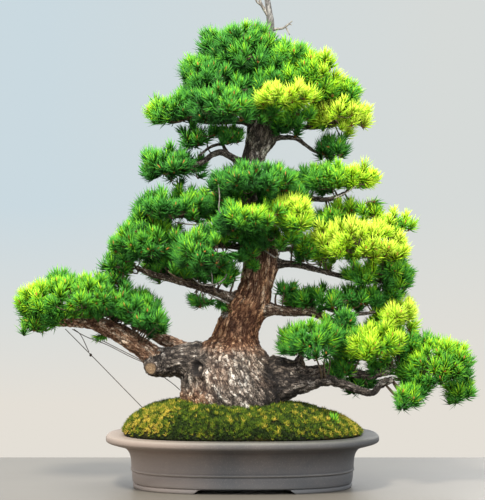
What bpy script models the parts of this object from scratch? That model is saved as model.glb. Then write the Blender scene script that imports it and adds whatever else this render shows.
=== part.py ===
"""Pine bonsai in an oval stoneware pot, with its soil, moss, stems, foliage pads and guy wires.

The frame is metres with +Z up. The origin is on the ground under the middle of the tree's box,
which is also the middle of the pot to within a few millimetres. -Y is the show side of the tree.
"""
import math

import bmesh
import bpy
from mathutils import Matrix, Vector

# Pot: half sizes of the rim, heights and the curve of its oval.
POT_HALF_LENGTH = 0.306
POT_HALF_DEPTH = 0.226
OVAL_POWER = 2.6
OVAL_SEGMENTS = 40
FOOT_HEIGHT = 0.010
UNDERSIDE = 0.0112
FLOOR_TOP = 0.022
RIM_TOP = 0.117
FOOT_GAP_CENTRE = 0.004
FOOT_GAP_HALF_BOTTOM = 0.110
FOOT_GAP_HALF_TOP = 0.0985
DRAIN_HOLE_X = 0.11
DRAIN_HOLE_RADIUS = 0.014
SCREEN_HALF = 0.021
SCREEN_THICKNESS = 0.0015

# Contents.
SOIL_BOTTOM = 0.0243
SOIL_TOP = 0.113
MOSS_HALF_LENGTH = 0.267
MOSS_HALF_DEPTH = 0.187
MOSS_BASE = 0.1176
MOSS_RISE = 0.0718

# Gaps that keep touching pieces apart.
GAP = 0.0003
WOOD_GAP = 0.0005
PAD_GAP = 0.0008

STEM_SIDES = 8
TRUNK_SIDES = 14
PAD_SEGMENTS = 12
PAD_RINGS = 5
WIRE_DIAMETER = 0.0018
KNOT_RADIUS = 0.0042

# Trunk: x, y, z and radius from the soil to the dead tip.
TRUNK = [
    (-0.024, 0.000, 0.1136, 0.098),
    (-0.024, 0.000, 0.160, 0.111),
    (-0.025, 0.000, 0.200, 0.114),
    (-0.025, 0.000, 0.240, 0.107),
    (-0.022, 0.002, 0.272, 0.092),
    (-0.019, 0.004, 0.300, 0.075),
    (-0.016, 0.006, 0.322, 0.058),
    (-0.012, 0.006, 0.345, 0.049),
    (-0.003, 0.006, 0.372, 0.047),
    (0.010, 0.005, 0.400, 0.0425),
    (0.024, 0.004, 0.426, 0.038),
    (0.033, 0.002, 0.460, 0.037),
    (0.041, 0.000, 0.515, 0.036),
    (0.038, 0.004, 0.575, 0.034),
    (0.029, 0.008, 0.635, 0.030),
    (0.020, 0.008, 0.695, 0.022),
    (0.028, 0.004, 0.749, 0.025),
    (0.041, 0.000, 0.785, 0.032),
    (0.048, 0.000, 0.818, 0.029),
    (0.050, 0.000, 0.862, 0.021),
    (0.053, 0.002, 0.910, 0.016),
    (0.056, 0.003, 0.960, 0.012),
    (0.058, 0.002, 1.005, 0.009),
    (0.064, 0.000, 1.038, 0.0085),
    (0.055, -0.002, 1.070, 0.0075),
    (0.044, -0.003, 1.098, 0.0065),
    (0.041, -0.002, 1.126, 0.0048),
    (0.037, 0.000, 1.150, 0.0022),
]

# Stems: each is a route of x, y, z and radius, starting inside the piece it grows from.
STEMS = {
    "limb_left_log": [
        (-0.070, 0.000, 0.270, 0.046), (-0.105, -0.004, 0.278, 0.039), (-0.140, -0.010, 0.280, 0.033),
        (-0.170, -0.018, 0.277, 0.028), (-0.194, -0.034, 0.270, 0.0205), (-0.203, -0.062, 0.266, 0.0150),
    ],
    "limb_left_rise": [
        (-0.184, -0.014, 0.276, 0.020), (-0.208, -0.016, 0.295, 0.0220), (-0.237, -0.020, 0.317, 0.0215),
        (-0.271, -0.022, 0.340, 0.0205), (-0.303, -0.022, 0.354, 0.018), (-0.335, -0.020, 0.363, 0.012),
        (-0.376, -0.018, 0.366, 0.009), (-0.430, -0.014, 0.364, 0.006),
    ],
    "limb_left_rear": [
        (-0.120, 0.018, 0.290, 0.020), (-0.144, 0.030, 0.309, 0.0165), (-0.188, 0.042, 0.330, 0.0145),
        (-0.212, 0.048, 0.345, 0.012), (-0.250, 0.055, 0.362, 0.008),
    ],
    "branch_left_mid": [
        (0.015, 0.000, 0.408, 0.012), (-0.030, -0.012, 0.424, 0.0105), (-0.096, -0.020, 0.447, 0.0095),
        (-0.150, -0.016, 0.462, 0.008), (-0.202, -0.008, 0.475, 0.0065), (-0.240, -0.002, 0.490, 0.005),
    ],
    "branch_left_inner": [
        (0.035, -0.005, 0.530, 0.010), (-0.010, -0.012, 0.537, 0.0075), (-0.055, -0.018, 0.539, 0.006),
        (-0.110, -0.012, 0.532, 0.0045),
    ],
    "branch_left_high": [
        (0.025, -0.002, 0.622, 0.010), (-0.030, -0.010, 0.616, 0.0075), (-0.068, -0.016, 0.612, 0.006),
        (-0.130, -0.022, 0.610, 0.0045),
    ],
    "branch_left_upper": [
        (0.022, 0.000, 0.716, 0.010), (-0.018, -0.003, 0.736, 0.0085), (-0.044, -0.005, 0.750, 0.008),
        (-0.067, -0.006, 0.746, 0.0068), (-0.092, -0.008, 0.728, 0.006), (-0.140, -0.008, 0.712, 0.0045),
    ],
    "branch_left_crown": [
        (0.045, 0.000, 0.812, 0.010), (-0.005, -0.003, 0.822, 0.0075), (-0.070, 0.000, 0.820, 0.006),
        (-0.130, 0.002, 0.828, 0.0045),
    ],
    "branch_right_base_upper": [
        (0.050, -0.008, 0.250, 0.038), (0.100, -0.012, 0.256, 0.030), (0.125, -0.014, 0.254, 0.024),
        (0.145, -0.016, 0.256, 0.015), (0.164, -0.018, 0.260, 0.0115),
        (0.213, -0.022, 0.261, 0.0102), (0.263, -0.026, 0.251, 0.009), (0.295, -0.026, 0.251, 0.0075),
        (0.333, -0.022, 0.264, 0.006), (0.380, -0.012, 0.272, 0.0045),
    ],
    "branch_right_base_lower": [
        (0.050, -0.022, 0.222, 0.034), (0.095, -0.030, 0.222, 0.027), (0.120, -0.036, 0.226, 0.021),
        (0.142, -0.040, 0.229, 0.0155), (0.162, -0.043, 0.233, 0.0122), (0.185, -0.046, 0.238, 0.0100), (0.220, -0.048, 0.232, 0.0082), (0.256, -0.048, 0.218, 0.0072),
        (0.288, -0.046, 0.210, 0.0068), (0.309, -0.042, 0.228, 0.0054), (0.334, -0.036, 0.240, 0.0045),
    ],
    "branch_right_lower": [
        (0.020, 0.000, 0.396, 0.016), (0.064, -0.006, 0.395, 0.0128), (0.111, -0.012, 0.391, 0.0113),
        (0.152, -0.016, 0.391, 0.0105), (0.192, -0.022, 0.374, 0.009), (0.216, -0.028, 0.350, 0.007),
    ],
    "branch_right_mid": [
        (0.040, 0.000, 0.502, 0.012), (0.076, -0.004, 0.499, 0.0090), (0.118, -0.008, 0.497, 0.0075),
        (0.153, -0.010, 0.489, 0.007), (0.206, -0.012, 0.475, 0.006), (0.263, -0.010, 0.462, 0.005),
        (0.322, -0.006, 0.458, 0.004),
    ],
    "branch_right_upper": [
        (0.028, 0.000, 0.662, 0.010), (0.090, -0.008, 0.650, 0.0070), (0.158, -0.014, 0.645, 0.006),
        (0.196, -0.016, 0.644, 0.005), (0.230, -0.016, 0.658, 0.004),
    ],
    "branch_right_top": [
        (0.042, 0.000, 0.788, 0.010), (0.079, 0.002, 0.785, 0.0065), (0.120, 0.006, 0.784, 0.0052),
        (0.143, 0.010, 0.769, 0.0048), (0.166, 0.014, 0.754, 0.0042), (0.196, 0.020, 0.752, 0.0035),
    ],
    "branch_right_crown": [
        (0.050, 0.000, 0.820, 0.010), (0.100, -0.003, 0.812, 0.007), (0.160, -0.003, 0.808, 0.0055),
        (0.205, 0.000, 0.816, 0.0045),
    ],
    "branch_rear_mid": [
        (0.038, 0.010, 0.530, 0.012), (0.060, 0.070, 0.532, 0.008), (0.120, 0.120, 0.536, 0.006),
        (0.180, 0.150, 0.540, 0.0045),
    ],
}
PARENT_STEM = {
    "limb_left_rise": "limb_left_log",
    "limb_left_rear": "limb_left_log",
    "branch_right_base_lower": "branch_right_base_upper",
}

# Foliage pads: centre, then half length, half depth and half height.
PADS = {
    "foliage_crown_top": ((-0.002, 0.000, 0.995), (0.104, 0.100, 0.058)),
    "foliage_crown_right": ((0.150, -0.020, 0.925), (0.095, 0.095, 0.060)),
    "foliage_crown_left": ((-0.072, -0.012, 0.926), (0.070, 0.090, 0.046)),
    "foliage_crown_rear": ((0.040, 0.140, 0.915), (0.100, 0.078, 0.050)),
    "foliage_tier_left": ((-0.148, 0.004, 0.853), (0.077, 0.092, 0.040)),
    "foliage_tier_front": ((-0.046, -0.120, 0.846), (0.075, 0.082, 0.052)),
    "foliage_tier_front_right": ((0.094, -0.110, 0.870), (0.075, 0.078, 0.036)),
    "foliage_tier_right": ((0.218, 0.000, 0.843), (0.084, 0.092, 0.040)),
    "foliage_upper_left": ((-0.155, -0.008, 0.728), (0.088, 0.098, 0.042)),
    "foliage_upper_right": ((0.205, 0.030, 0.774), (0.046, 0.056, 0.030)),
    "foliage_upper_rear": ((0.040, 0.165, 0.705), (0.120, 0.090, 0.038)),
    "foliage_mid_right": ((0.202, -0.018, 0.694), (0.106, 0.108, 0.042)),
    "foliage_mid_front": ((0.022, -0.145, 0.682), (0.105, 0.092, 0.040)),
    "foliage_mid_left": ((-0.140, -0.020, 0.634), (0.104, 0.112, 0.042)),
    "foliage_left_end": ((-0.215, 0.002, 0.545), (0.097, 0.118, 0.060)),
    "foliage_left_inner": ((-0.086, -0.112, 0.530), (0.085, 0.100, 0.050)),
    "foliage_front_centre": ((0.010, -0.168, 0.602), (0.085, 0.086, 0.042)),
    "foliage_front_right": ((0.110, -0.152, 0.608), (0.050, 0.068, 0.046)),
    "foliage_right_big": ((0.264, -0.016, 0.548), (0.126, 0.130, 0.068)),
    "foliage_right_end": ((0.352, 0.004, 0.466), (0.040, 0.056, 0.026)),
    "foliage_under_left": ((-0.078, -0.062, 0.441), (0.055, 0.056, 0.032)),
    "foliage_low_row": ((0.205, 0.010, 0.428), (0.138, 0.080, 0.028)),
    "foliage_low_bright": ((0.350, -0.020, 0.390), (0.049, 0.070, 0.040)),
    "foliage_low_inner": ((0.155, -0.088, 0.334), (0.071, 0.080, 0.048)),
    "foliage_low_centre": ((0.288, -0.034, 0.324), (0.080, 0.102, 0.054)),
    "foliage_low_outer": ((0.432, 0.002, 0.274), (0.095, 0.112, 0.076)),
    "foliage_hanging": ((0.362, -0.078, 0.212), (0.034, 0.034, 0.036)),
    "foliage_left_low": ((-0.364, -0.018, 0.420), (0.156, 0.132, 0.060)),
    "foliage_left_lobe": ((-0.207, -0.055, 0.380), (0.046, 0.062, 0.034)),
    "foliage_rear_right": ((0.240, 0.172, 0.550), (0.100, 0.092, 0.050)),
    "foliage_rear_centre": ((-0.010, 0.172, 0.632), (0.110, 0.092, 0.044)),
    "foliage_rear_left": ((-0.150, 0.165, 0.500), (0.098, 0.092, 0.044)),
}

# Wires: each is a straight or gently bent route between two places on the tree or in the moss.
WIRES = {
    "wire_guy": [(-0.398, -0.020, 0.352), (-0.340, -0.022, 0.294), (-0.283, -0.023, 0.236),
                 (-0.224, -0.024, 0.176)],
    "wire_guy_tail": [(-0.378, -0.027, 0.352), (-0.362, -0.028, 0.338), (-0.344, -0.0275, 0.301)],
    "wire_twist": [(-0.381, -0.032, 0.352), (-0.347, -0.036, 0.334), (-0.304, -0.040, 0.318),
                   (-0.250, -0.044, 0.291), (-0.222, -0.046, 0.279)],
    "wire_brace": [(-0.310, -0.049, 0.326), (-0.268, -0.052, 0.305), (-0.222, -0.054, 0.282)],
    "wire_brace_low": [(-0.174, -0.030, 0.243), (-0.156, -0.030, 0.230), (-0.140, -0.030, 0.216)],
}
KNOT_PLACE = (-0.340, -0.0285, 0.294)

COLOURS = {
    "stoneware": ((0.105, 0.085, 0.075, 1.0), 0.62),
    "plastic_mesh": ((0.03, 0.03, 0.03, 1.0), 0.60),
    "soil": ((0.07, 0.05, 0.035, 1.0), 0.95),
    "moss": ((0.11, 0.16, 0.02, 1.0), 0.95),
    "bark": ((0.18, 0.12, 0.085, 1.0), 0.90),
    "needles": ((0.06, 0.24, 0.02, 1.0), 0.70),
    "wire": ((0.13, 0.11, 0.10, 1.0), 0.45),
}


def clear_scene():
    """Remove every object, so that the script starts from nothing."""
    for obj in list(bpy.data.objects):
        bpy.data.objects.remove(obj, do_unlink=True)


def material(name):
    """Principled material of one of the named finishes."""
    found = bpy.data.materials.get(name)
    if found:
        return found
    colour, roughness = COLOURS[name]
    made = bpy.data.materials.new(name)
    made.use_nodes = True
    shader = made.node_tree.nodes["Principled BSDF"]
    shader.inputs["Base Color"].default_value = colour
    shader.inputs["Roughness"].default_value = roughness
    shader.inputs["Metallic"].default_value = 0.8 if name == "wire" else 0.0
    made.diffuse_color = colour
    return made


def loft(name, rings, finish):
    """Closed body through rings of points that all have the same count, with a flat cap at each end."""
    bm = bmesh.new()
    rows = [[bm.verts.new(point) for point in ring] for ring in rings]
    count = len(rows[0])
    for low, high in zip(rows, rows[1:]):
        for i in range(count):
            j = (i + 1) % count
            bm.faces.new((low[i], low[j], high[j], high[i]))
    bm.faces.new(rows[0][::-1])
    bm.faces.new(rows[-1])
    bmesh.ops.triangulate(bm, faces=bm.faces[:])
    bmesh.ops.recalc_face_normals(bm, faces=bm.faces[:])
    mesh = bpy.data.meshes.new(name)
    bm.to_mesh(mesh)
    bm.free()
    mesh.shade_smooth()
    mesh.set_sharp_from_angle(angle=math.radians(40))
    obj = bpy.data.objects.new(name, mesh)
    bpy.context.collection.objects.link(obj)
    mesh.materials.append(material(finish))
    return obj


def oval_ring(half_length, half_depth, height, power=OVAL_POWER):
    """Points of a rounded oval: the superellipse |x/a|^n + |y/b|^n = 1, taken at equal angles."""
    ring = []
    for i in range(OVAL_SEGMENTS):
        angle = 2.0 * math.pi * i / OVAL_SEGMENTS
        cos, sin = math.cos(angle), math.sin(angle)
        reach = (abs(cos / half_length) ** power + abs(sin / half_depth) ** power) ** (-1.0 / power)
        ring.append(Vector((reach * cos, reach * sin, height)))
    return ring


def pot_ring(inset, height):
    """Ring of the pot at a distance inside its rim."""
    return oval_ring(POT_HALF_LENGTH - inset, POT_HALF_DEPTH - inset, height)


def tube_rings(route, sides, extra=0.0):
    """Rings of a round stem along a route of x, y, z and radius, turned as little as possible."""
    points = [Vector(p[:3]) for p in route]
    rings = []
    side = None
    for i, point in enumerate(points):
        ahead = points[min(i + 1, len(points) - 1)] - points[max(i - 1, 0)]
        ahead.normalize()
        if side is None:
            side = ahead.orthogonal().normalized()
            if abs(ahead.z) > 0.7:
                side = Vector((1.0, 0.0, 0.0))
        side = (side - ahead * side.dot(ahead)).normalized()
        up = ahead.cross(side)
        radius = route[i][3] + extra
        ring = []
        for k in range(sides):
            angle = 2.0 * math.pi * k / sides
            ring.append(point + radius * (math.cos(angle) * side + math.sin(angle) * up))
        rings.append(ring)
    return rings


def lengthened(route):
    """The same route with its last point moved on by a little more than the gap between pieces."""
    before, last = Vector(route[-2][:3]), Vector(route[-1][:3])
    moved = last + (last - before).normalized() * 2.0 * WOOD_GAP
    return route[:-1] + [(*moved, route[-1][3])]


def as_cutter(obj):
    """Mark a solid that only cuts others, so that it isn't part of the model."""
    obj.hide_render = True
    obj.display_type = "WIRE"
    return obj


def cut(target, tool):
    """Take one solid out of another with a Boolean modifier."""
    modifier = target.modifiers.new("cut_" + tool.name, "BOOLEAN")
    modifier.operation = "DIFFERENCE"
    modifier.solver = "EXACT"
    modifier.object = tool


def boxes_meet(first, second):
    """True where the boxes of two objects reach each other."""
    spans = []
    for obj in (first, second):
        corners = [v.co for v in obj.data.vertices]
        spans.append([(min(c[k] for c in corners), max(c[k] for c in corners)) for k in range(3)])
    return all(a[0] < b[1] and b[0] < a[1] for a, b in zip(*spans))


def clear_of(target, tools):
    """Cut away what each tool takes, for the tools whose boxes reach the target."""
    for tool in tools:
        if boxes_meet(target, tool):
            cut(target, tool)


def make_pot():
    """Oval tray: foot ring, lower band, raised line, wall, flared lip, flat rim and the inside."""
    profile = [
        (0.0850, UNDERSIDE), (0.0850, 0.0000), (0.0630, 0.0000), (0.0610, 0.0015), (0.0604, 0.0088),
        (0.0622, 0.0098), (0.0622, 0.0110), (0.0602, 0.0120), (0.0574, 0.0352), (0.0586, 0.0364),
        (0.0556, 0.0376), (0.0550, 0.0400), (0.0562, 0.0430), (0.0560, 0.0580), (0.0531, 0.0727),
        (0.0486, 0.0816), (0.0420, 0.0882), (0.0285, 0.0935), (0.0130, 0.0983), (0.0030, 0.1018),
        (0.0000, 0.1060), (0.0000, 0.1110), (0.0025, 0.1150), (0.0080, RIM_TOP), (0.0400, 0.1166),
        (0.0445, 0.1145), (0.0475, 0.1080), (0.0660, 0.0600), (0.0770, 0.0260), (0.0810, FLOOR_TOP),
    ]
    pot = loft("pot", [pot_ring(inset, height) for inset, height in profile], "stoneware")
    depth = 2.0 * POT_HALF_DEPTH
    section = [
        (FOOT_GAP_CENTRE - FOOT_GAP_HALF_BOTTOM - 0.0055, -0.005),
        (FOOT_GAP_CENTRE + FOOT_GAP_HALF_BOTTOM + 0.0055, -0.005),
        (FOOT_GAP_CENTRE + FOOT_GAP_HALF_TOP, FOOT_HEIGHT),
        (FOOT_GAP_CENTRE - FOOT_GAP_HALF_TOP, FOOT_HEIGHT),
    ]
    ends = [[Vector((x, y, z)) for x, z in section] for y in (-depth, depth)]
    cut(pot, as_cutter(loft("foot_gap_cutter", ends, "stoneware")))
    for side in (-1, 1):
        centre = (side * DRAIN_HOLE_X, 0.0)
        rings = [round_ring(centre, DRAIN_HOLE_RADIUS, z, 16) for z in (UNDERSIDE - 0.004, FLOOR_TOP + 0.004)]
        cut(pot, as_cutter(loft(f"drain_cutter_{side}", rings, "stoneware")))
    return pot


def round_ring(centre, radius, height, sides):
    """Points of a level circle."""
    ring = []
    for k in range(sides):
        angle = 2.0 * math.pi * k / sides
        ring.append(Vector((centre[0] + radius * math.cos(angle), centre[1] + radius * math.sin(angle), height)))
    return ring


def make_screens():
    """Flat square of plastic mesh over each drain hole, on the floor of the pot."""
    for name, side in (("drain_screen_left", -1), ("drain_screen_right", 1)):
        rings = []
        for z in (FLOOR_TOP + GAP, FLOOR_TOP + GAP + SCREEN_THICKNESS):
            corners = [(-1, -1), (1, -1), (1, 1), (-1, 1)]
            rings.append([Vector((side * DRAIN_HOLE_X + SCREEN_HALF * a, SCREEN_HALF * b, z)) for a, b in corners])
        loft(name, rings, "plastic_mesh")


def make_soil():
    """Soil that fills the inside of the pot to just under the rim."""
    profile = [(0.0802, SOIL_BOTTOM), (0.0778, 0.0262), (0.0668, 0.0600), (0.0483, 0.1080), (0.0462, SOIL_TOP)]
    return loft("soil", [pot_ring(inset, height) for inset, height in profile], "soil")


def moss_height(share, angle):
    """Height of the mound at a share of the way from its middle to its edge.

    The left side is a full cushion with a steep edge and the right side slopes more gently.
    """
    left = 0.5 - 0.5 * math.cos(angle)
    power = 2.0 + 3.0 * left
    bend = 0.62 - 0.07 * left
    return MOSS_BASE + 0.002 + MOSS_RISE * max(0.0, 1.0 - share ** power) ** bend


def make_moss(wood_tools):
    """Mound of moss on the soil and the inner edge of the rim, open where the trunk stands."""
    rings = [pot_ring(0.0475, SOIL_TOP + GAP), pot_ring(0.0438, MOSS_BASE - 0.0002)]
    for share in (1.0, 0.985, 0.94, 0.86, 0.74, 0.58, 0.40):
        flat = oval_ring(MOSS_HALF_LENGTH * share, MOSS_HALF_DEPTH * share, 0.0)
        ring = []
        for k, point in enumerate(flat):
            angle = 2.0 * math.pi * k / OVAL_SEGMENTS
            point.z = moss_height(share, angle)
            ring.append(point)
        if share == 1.0:
            rings.append([Vector((p.x * 0.985, p.y * 0.985, MOSS_BASE)) for p in ring])
        rings.append(ring)
    moss = loft("moss", rings, "moss")
    clear_of(moss, wood_tools.values())
    return moss


def make_wood():
    """Trunk and its stems. Returns the slightly fatter cutters that other pieces are cleared with."""
    loft("trunk", tube_rings(TRUNK, TRUNK_SIDES), "bark")
    trunk_route = [(-0.024, 0.0, 0.100, 0.092)] + TRUNK
    trunk_tool = as_cutter(loft("trunk_cutter", tube_rings(trunk_route, TRUNK_SIDES, WOOD_GAP), "bark"))
    tools = {"trunk": trunk_tool}
    for name, route in STEMS.items():
        stem = loft(name, tube_rings(route, STEM_SIDES), "bark")
        cut(stem, trunk_tool)
        parent = PARENT_STEM.get(name)
        if parent:
            cut(stem, tools[parent])
        grown = tube_rings(lengthened(route), STEM_SIDES, WOOD_GAP)
        tools[name] = as_cutter(loft(name + "_cutter", grown, "bark"))
    return tools


def pad_rings(centre, half, phase, extra=0.0):
    """Rings of a cloud-shaped pad: a flattened dome over a shallower underside, with soft lobes."""
    rings = []
    for i in range(PAD_RINGS + 1):
        tilt = math.pi * ((i + 0.45) / (PAD_RINGS + 0.9) - 0.5)
        height = math.sin(tilt) * (1.0 if tilt > 0 else 0.86)
        reach = math.cos(tilt) ** 0.75
        ring = []
        for k in range(PAD_SEGMENTS):
            angle = 2.0 * math.pi * k / PAD_SEGMENTS
            lobe = 0.99 + 0.035 * math.sin(3.0 * angle + phase) + 0.03 * math.sin(2.0 * angle - 1.7 * phase)
            ring.append(Vector((
                centre[0] + (half[0] + extra) * reach * lobe * math.cos(angle),
                centre[1] + (half[1] + extra) * reach * lobe * math.sin(angle),
                centre[2] + (half[2] + extra) * height,
            )))
        rings.append(ring)
    return rings


def make_foliage(wood_tools):
    """Pads of needles, each cleared of the wood and of the pads made before it."""
    made = []
    for index, (name, (centre, half)) in enumerate(PADS.items()):
        phase = 1.3 * index
        pad = loft(name, pad_rings(centre, half, phase), "needles")
        clear_of(pad, list(wood_tools.values()) + made)
        grown = pad_rings(centre, half, phase, PAD_GAP)
        made.append(as_cutter(loft(name + "_cutter", grown, "needles")))


def make_wires():
    """Guy and brace wires of the low left limb, as round tubes with filled ends, and their knot."""
    for name, route in WIRES.items():
        curve = bpy.data.curves.new(name, "CURVE")
        curve.dimensions = "3D"
        curve.bevel_depth = WIRE_DIAMETER / 2.0
        curve.bevel_resolution = 1
        curve.use_fill_caps = True
        spline = curve.splines.new("POLY")
        spline.points.add(len(route) - 1)
        for point, place in zip(spline.points, route):
            point.co = (*place, 1.0)
        obj = bpy.data.objects.new(name, curve)
        bpy.context.collection.objects.link(obj)
        curve.materials.append(material("wire"))
    bm = bmesh.new()
    bmesh.ops.create_icosphere(bm, subdivisions=1, radius=KNOT_RADIUS)
    bmesh.ops.transform(bm, matrix=Matrix.Diagonal((1.0, 0.8, 1.25, 1.0)), verts=bm.verts[:])
    mesh = bpy.data.meshes.new("wire_knot")
    bm.to_mesh(mesh)
    bm.free()
    knot = bpy.data.objects.new("wire_knot", mesh)
    knot.location = KNOT_PLACE
    bpy.context.collection.objects.link(knot)
    mesh.materials.append(material("wire"))


def main():
    """Build the whole model."""
    clear_scene()
    make_pot()
    make_screens()
    make_soil()
    tools = make_wood()
    make_moss(tools)
    make_foliage(tools)
    make_wires()


main()
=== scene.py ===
"""The finished surfaces of a pine bonsai in a stoneware tray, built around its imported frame.

Lengths are metres, +Z is up and -Y is the show side. Every finished piece sits at the origin with its
place in its mesh.
"""
import itertools
import math

import bpy
import numpy as np
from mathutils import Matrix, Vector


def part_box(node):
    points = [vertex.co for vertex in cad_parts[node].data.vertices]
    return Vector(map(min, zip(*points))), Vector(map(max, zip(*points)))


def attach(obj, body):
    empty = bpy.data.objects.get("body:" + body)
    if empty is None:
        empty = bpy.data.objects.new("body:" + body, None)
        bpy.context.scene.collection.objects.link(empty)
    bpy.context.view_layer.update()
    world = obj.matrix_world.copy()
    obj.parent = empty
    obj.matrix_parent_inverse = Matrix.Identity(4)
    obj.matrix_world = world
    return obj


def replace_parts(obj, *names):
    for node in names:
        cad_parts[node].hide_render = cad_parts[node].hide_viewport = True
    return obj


bl_info = {
    "name": "Pine Bonsai",
    "version": (1, 0, 0),
    "blender": (4, 5, 0),
    "location": "View3D > Sidebar > Bonsai",
    "description": "Finished surfaces of a pine bonsai in an oval stoneware tray",
    "category": "Add Mesh",
}

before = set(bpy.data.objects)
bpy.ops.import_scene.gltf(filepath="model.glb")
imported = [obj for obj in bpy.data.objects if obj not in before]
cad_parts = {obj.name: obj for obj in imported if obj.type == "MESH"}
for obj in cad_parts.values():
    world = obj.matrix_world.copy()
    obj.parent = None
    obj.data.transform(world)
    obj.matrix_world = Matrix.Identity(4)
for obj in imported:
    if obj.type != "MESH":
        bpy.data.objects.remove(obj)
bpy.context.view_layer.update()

BODY = "root"
GOLDEN_ANGLE = math.pi * (3.0 - math.sqrt(5.0))
UP = np.array((0.0, 0.0, 1.0))


def metres(table):
    """A table of millimetres, however deep, in metres."""
    if isinstance(table, dict):
        return {name: metres(rows) for name, rows in table.items()}
    if isinstance(table, (list, tuple)):
        return [metres(row) for row in table]
    return table / 1000.0


# ---------------------------------------------------------------------------------------------
# Shapes that the frame and the finished pieces share
# ---------------------------------------------------------------------------------------------

POT_HALF = (0.306, 0.226)
OVAL_POWER = 2.6
RIM_TOP = 0.117
UNDERSIDE = 0.0112
FOOT_GAP_CENTRE = 0.004
FOOT_GAP_BOTTOM = 0.110
FOOT_GAP_TOP = 0.0985
FOOT_HEIGHT = 0.010
FOOT_INSET = 0.063
FLOOR_TOP = 0.022
DRAIN_HOLE_X = 0.11
DRAIN_HOLE_RADIUS = 0.014
DRILL_REACH = (0.004, 0.030)

# Distance inside the rim and height, in millimetres, and painted light: a highlight on raised edges above 0,
# shade in grooves below 0.
POT_PROFILE = [
    (85, 11.2, 0.0), (85, 0, 0.2), (84.5, 0, 0.2), (63.6, 0, 0.4), (62.4, 0.4, 0.9), (61.2, 1.4, 0.4),
    (60.8, 4, 0.1), (60.4, 8.6, 0.0), (61.1, 9.4, -0.8), (62.2, 9.9, -1.0), (62.3, 10.6, -1.0),
    (61.5, 11.4, -0.5), (60.4, 11.9, 0.5), (59.9, 12.6, 0.2), (59, 19, 0.0), (58.1, 27, 0.0),
    (57.5, 34, 0.0), (57.8, 35.2, -0.6), (58.5, 36.1, -1.0), (58.4, 36.8, -0.8), (57, 37.5, 0.2),
    (55.7, 38.2, 0.9), (55, 39.4, 1.0), (55.1, 40.9, 0.7), (55.8, 42.1, -0.2), (56.3, 43.1, -0.8),
    (56.3, 44.5, -0.2), (56.2, 51, 0.0), (55.8, 59, 0.0), (54.8, 66, 0.0), (53.1, 72.7, 0.0),
    (51.2, 77.6, 0.0), (48.6, 81.6, 0.0), (45.2, 85.7, 0.0), (41.2, 88.7, 0.0), (35, 91.3, 0.0),
    (28.5, 93.4, 0.0), (20.5, 95.6, 0.0), (13, 97.9, 0.0), (7, 99.8, 0.1), (3, 101.8, 0.5),
    (0.8, 103.8, 0.6), (0, 106.2, 0.2), (0, 109.2, 0.2), (0.3, 112.2, 0.3), (1.4, 114.5, 0.8),
    (3.4, 116.1, 1.0), (6.2, 116.9, 0.6), (10, 117, 0.2), (25, 116.8, 0.0), (38, 116.6, 0.1),
    (41.5, 116.2, 0.8), (43.6, 115, 0.6), (45, 112.5, 0.0), (47.5, 108, 0.0), (56, 85, 0.0), (66, 60, 0.0),
    (77, 26, 0.0), (81, 22, 0.0),
]

# Stage: the shell's radius, the wall's half width and height, its place behind the tree, and half the floor.
BACKDROP_RADIUS = 9.0
BACKDROP_WALL = (7.0, 4.5)
WALL_Y = 0.56
FLOOR_HALF = 6.0

# Moss mound and its heads.
MOSS_HALF = (0.267, 0.187)
MOSS_BASE = 0.1176
MOSS_RISE = 0.0718
MOSS_LUMP = 0.0075
MOSS_UNDERSIDE = 0.1135
MOSS_LEAVES = 5
MOSS_LEAF_WIDTH = 0.0027
MOSS_CLEAR_OF_TRUNK = 0.098
MOSS_GRID = (64, 224)
MOSS_LUMP_SEED = 75
MOSS_LEAF_SUNK = 0.0012
MOSS_LEAF_LEAN = (0.35, 0.95)

# Trunk: x, y, z and radius in millimetres, from the soil to the dead tip.
TRUNK = metres([
    (-24, 0, 113.6, 98), (-24, 0, 160, 111), (-25, 0, 200, 114), (-25, 0, 240, 107), (-22, 2, 272, 92),
    (-19, 4, 300, 75), (-16, 6, 322, 58), (-12, 6, 345, 49), (-3, 6, 372, 47), (10, 5, 400, 42.5),
    (24, 4, 426, 38), (33, 2, 460, 37), (41, 0, 515, 36), (38, 4, 575, 34), (29, 8, 635, 30),
    (20, 8, 695, 22), (28, 4, 749, 25), (41, 0, 785, 32), (48, 0, 818, 29), (50, 0, 862, 21),
    (53, 2, 910, 16), (56, 3, 960, 12), (58, 2, 1005, 9), (64, 0, 1038, 8.5), (60, -2, 1070, 7.8),
    (56, -3, 1098, 6.6), (53, -2, 1126, 4.8), (49, 0, 1150, 2.2),
])

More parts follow.
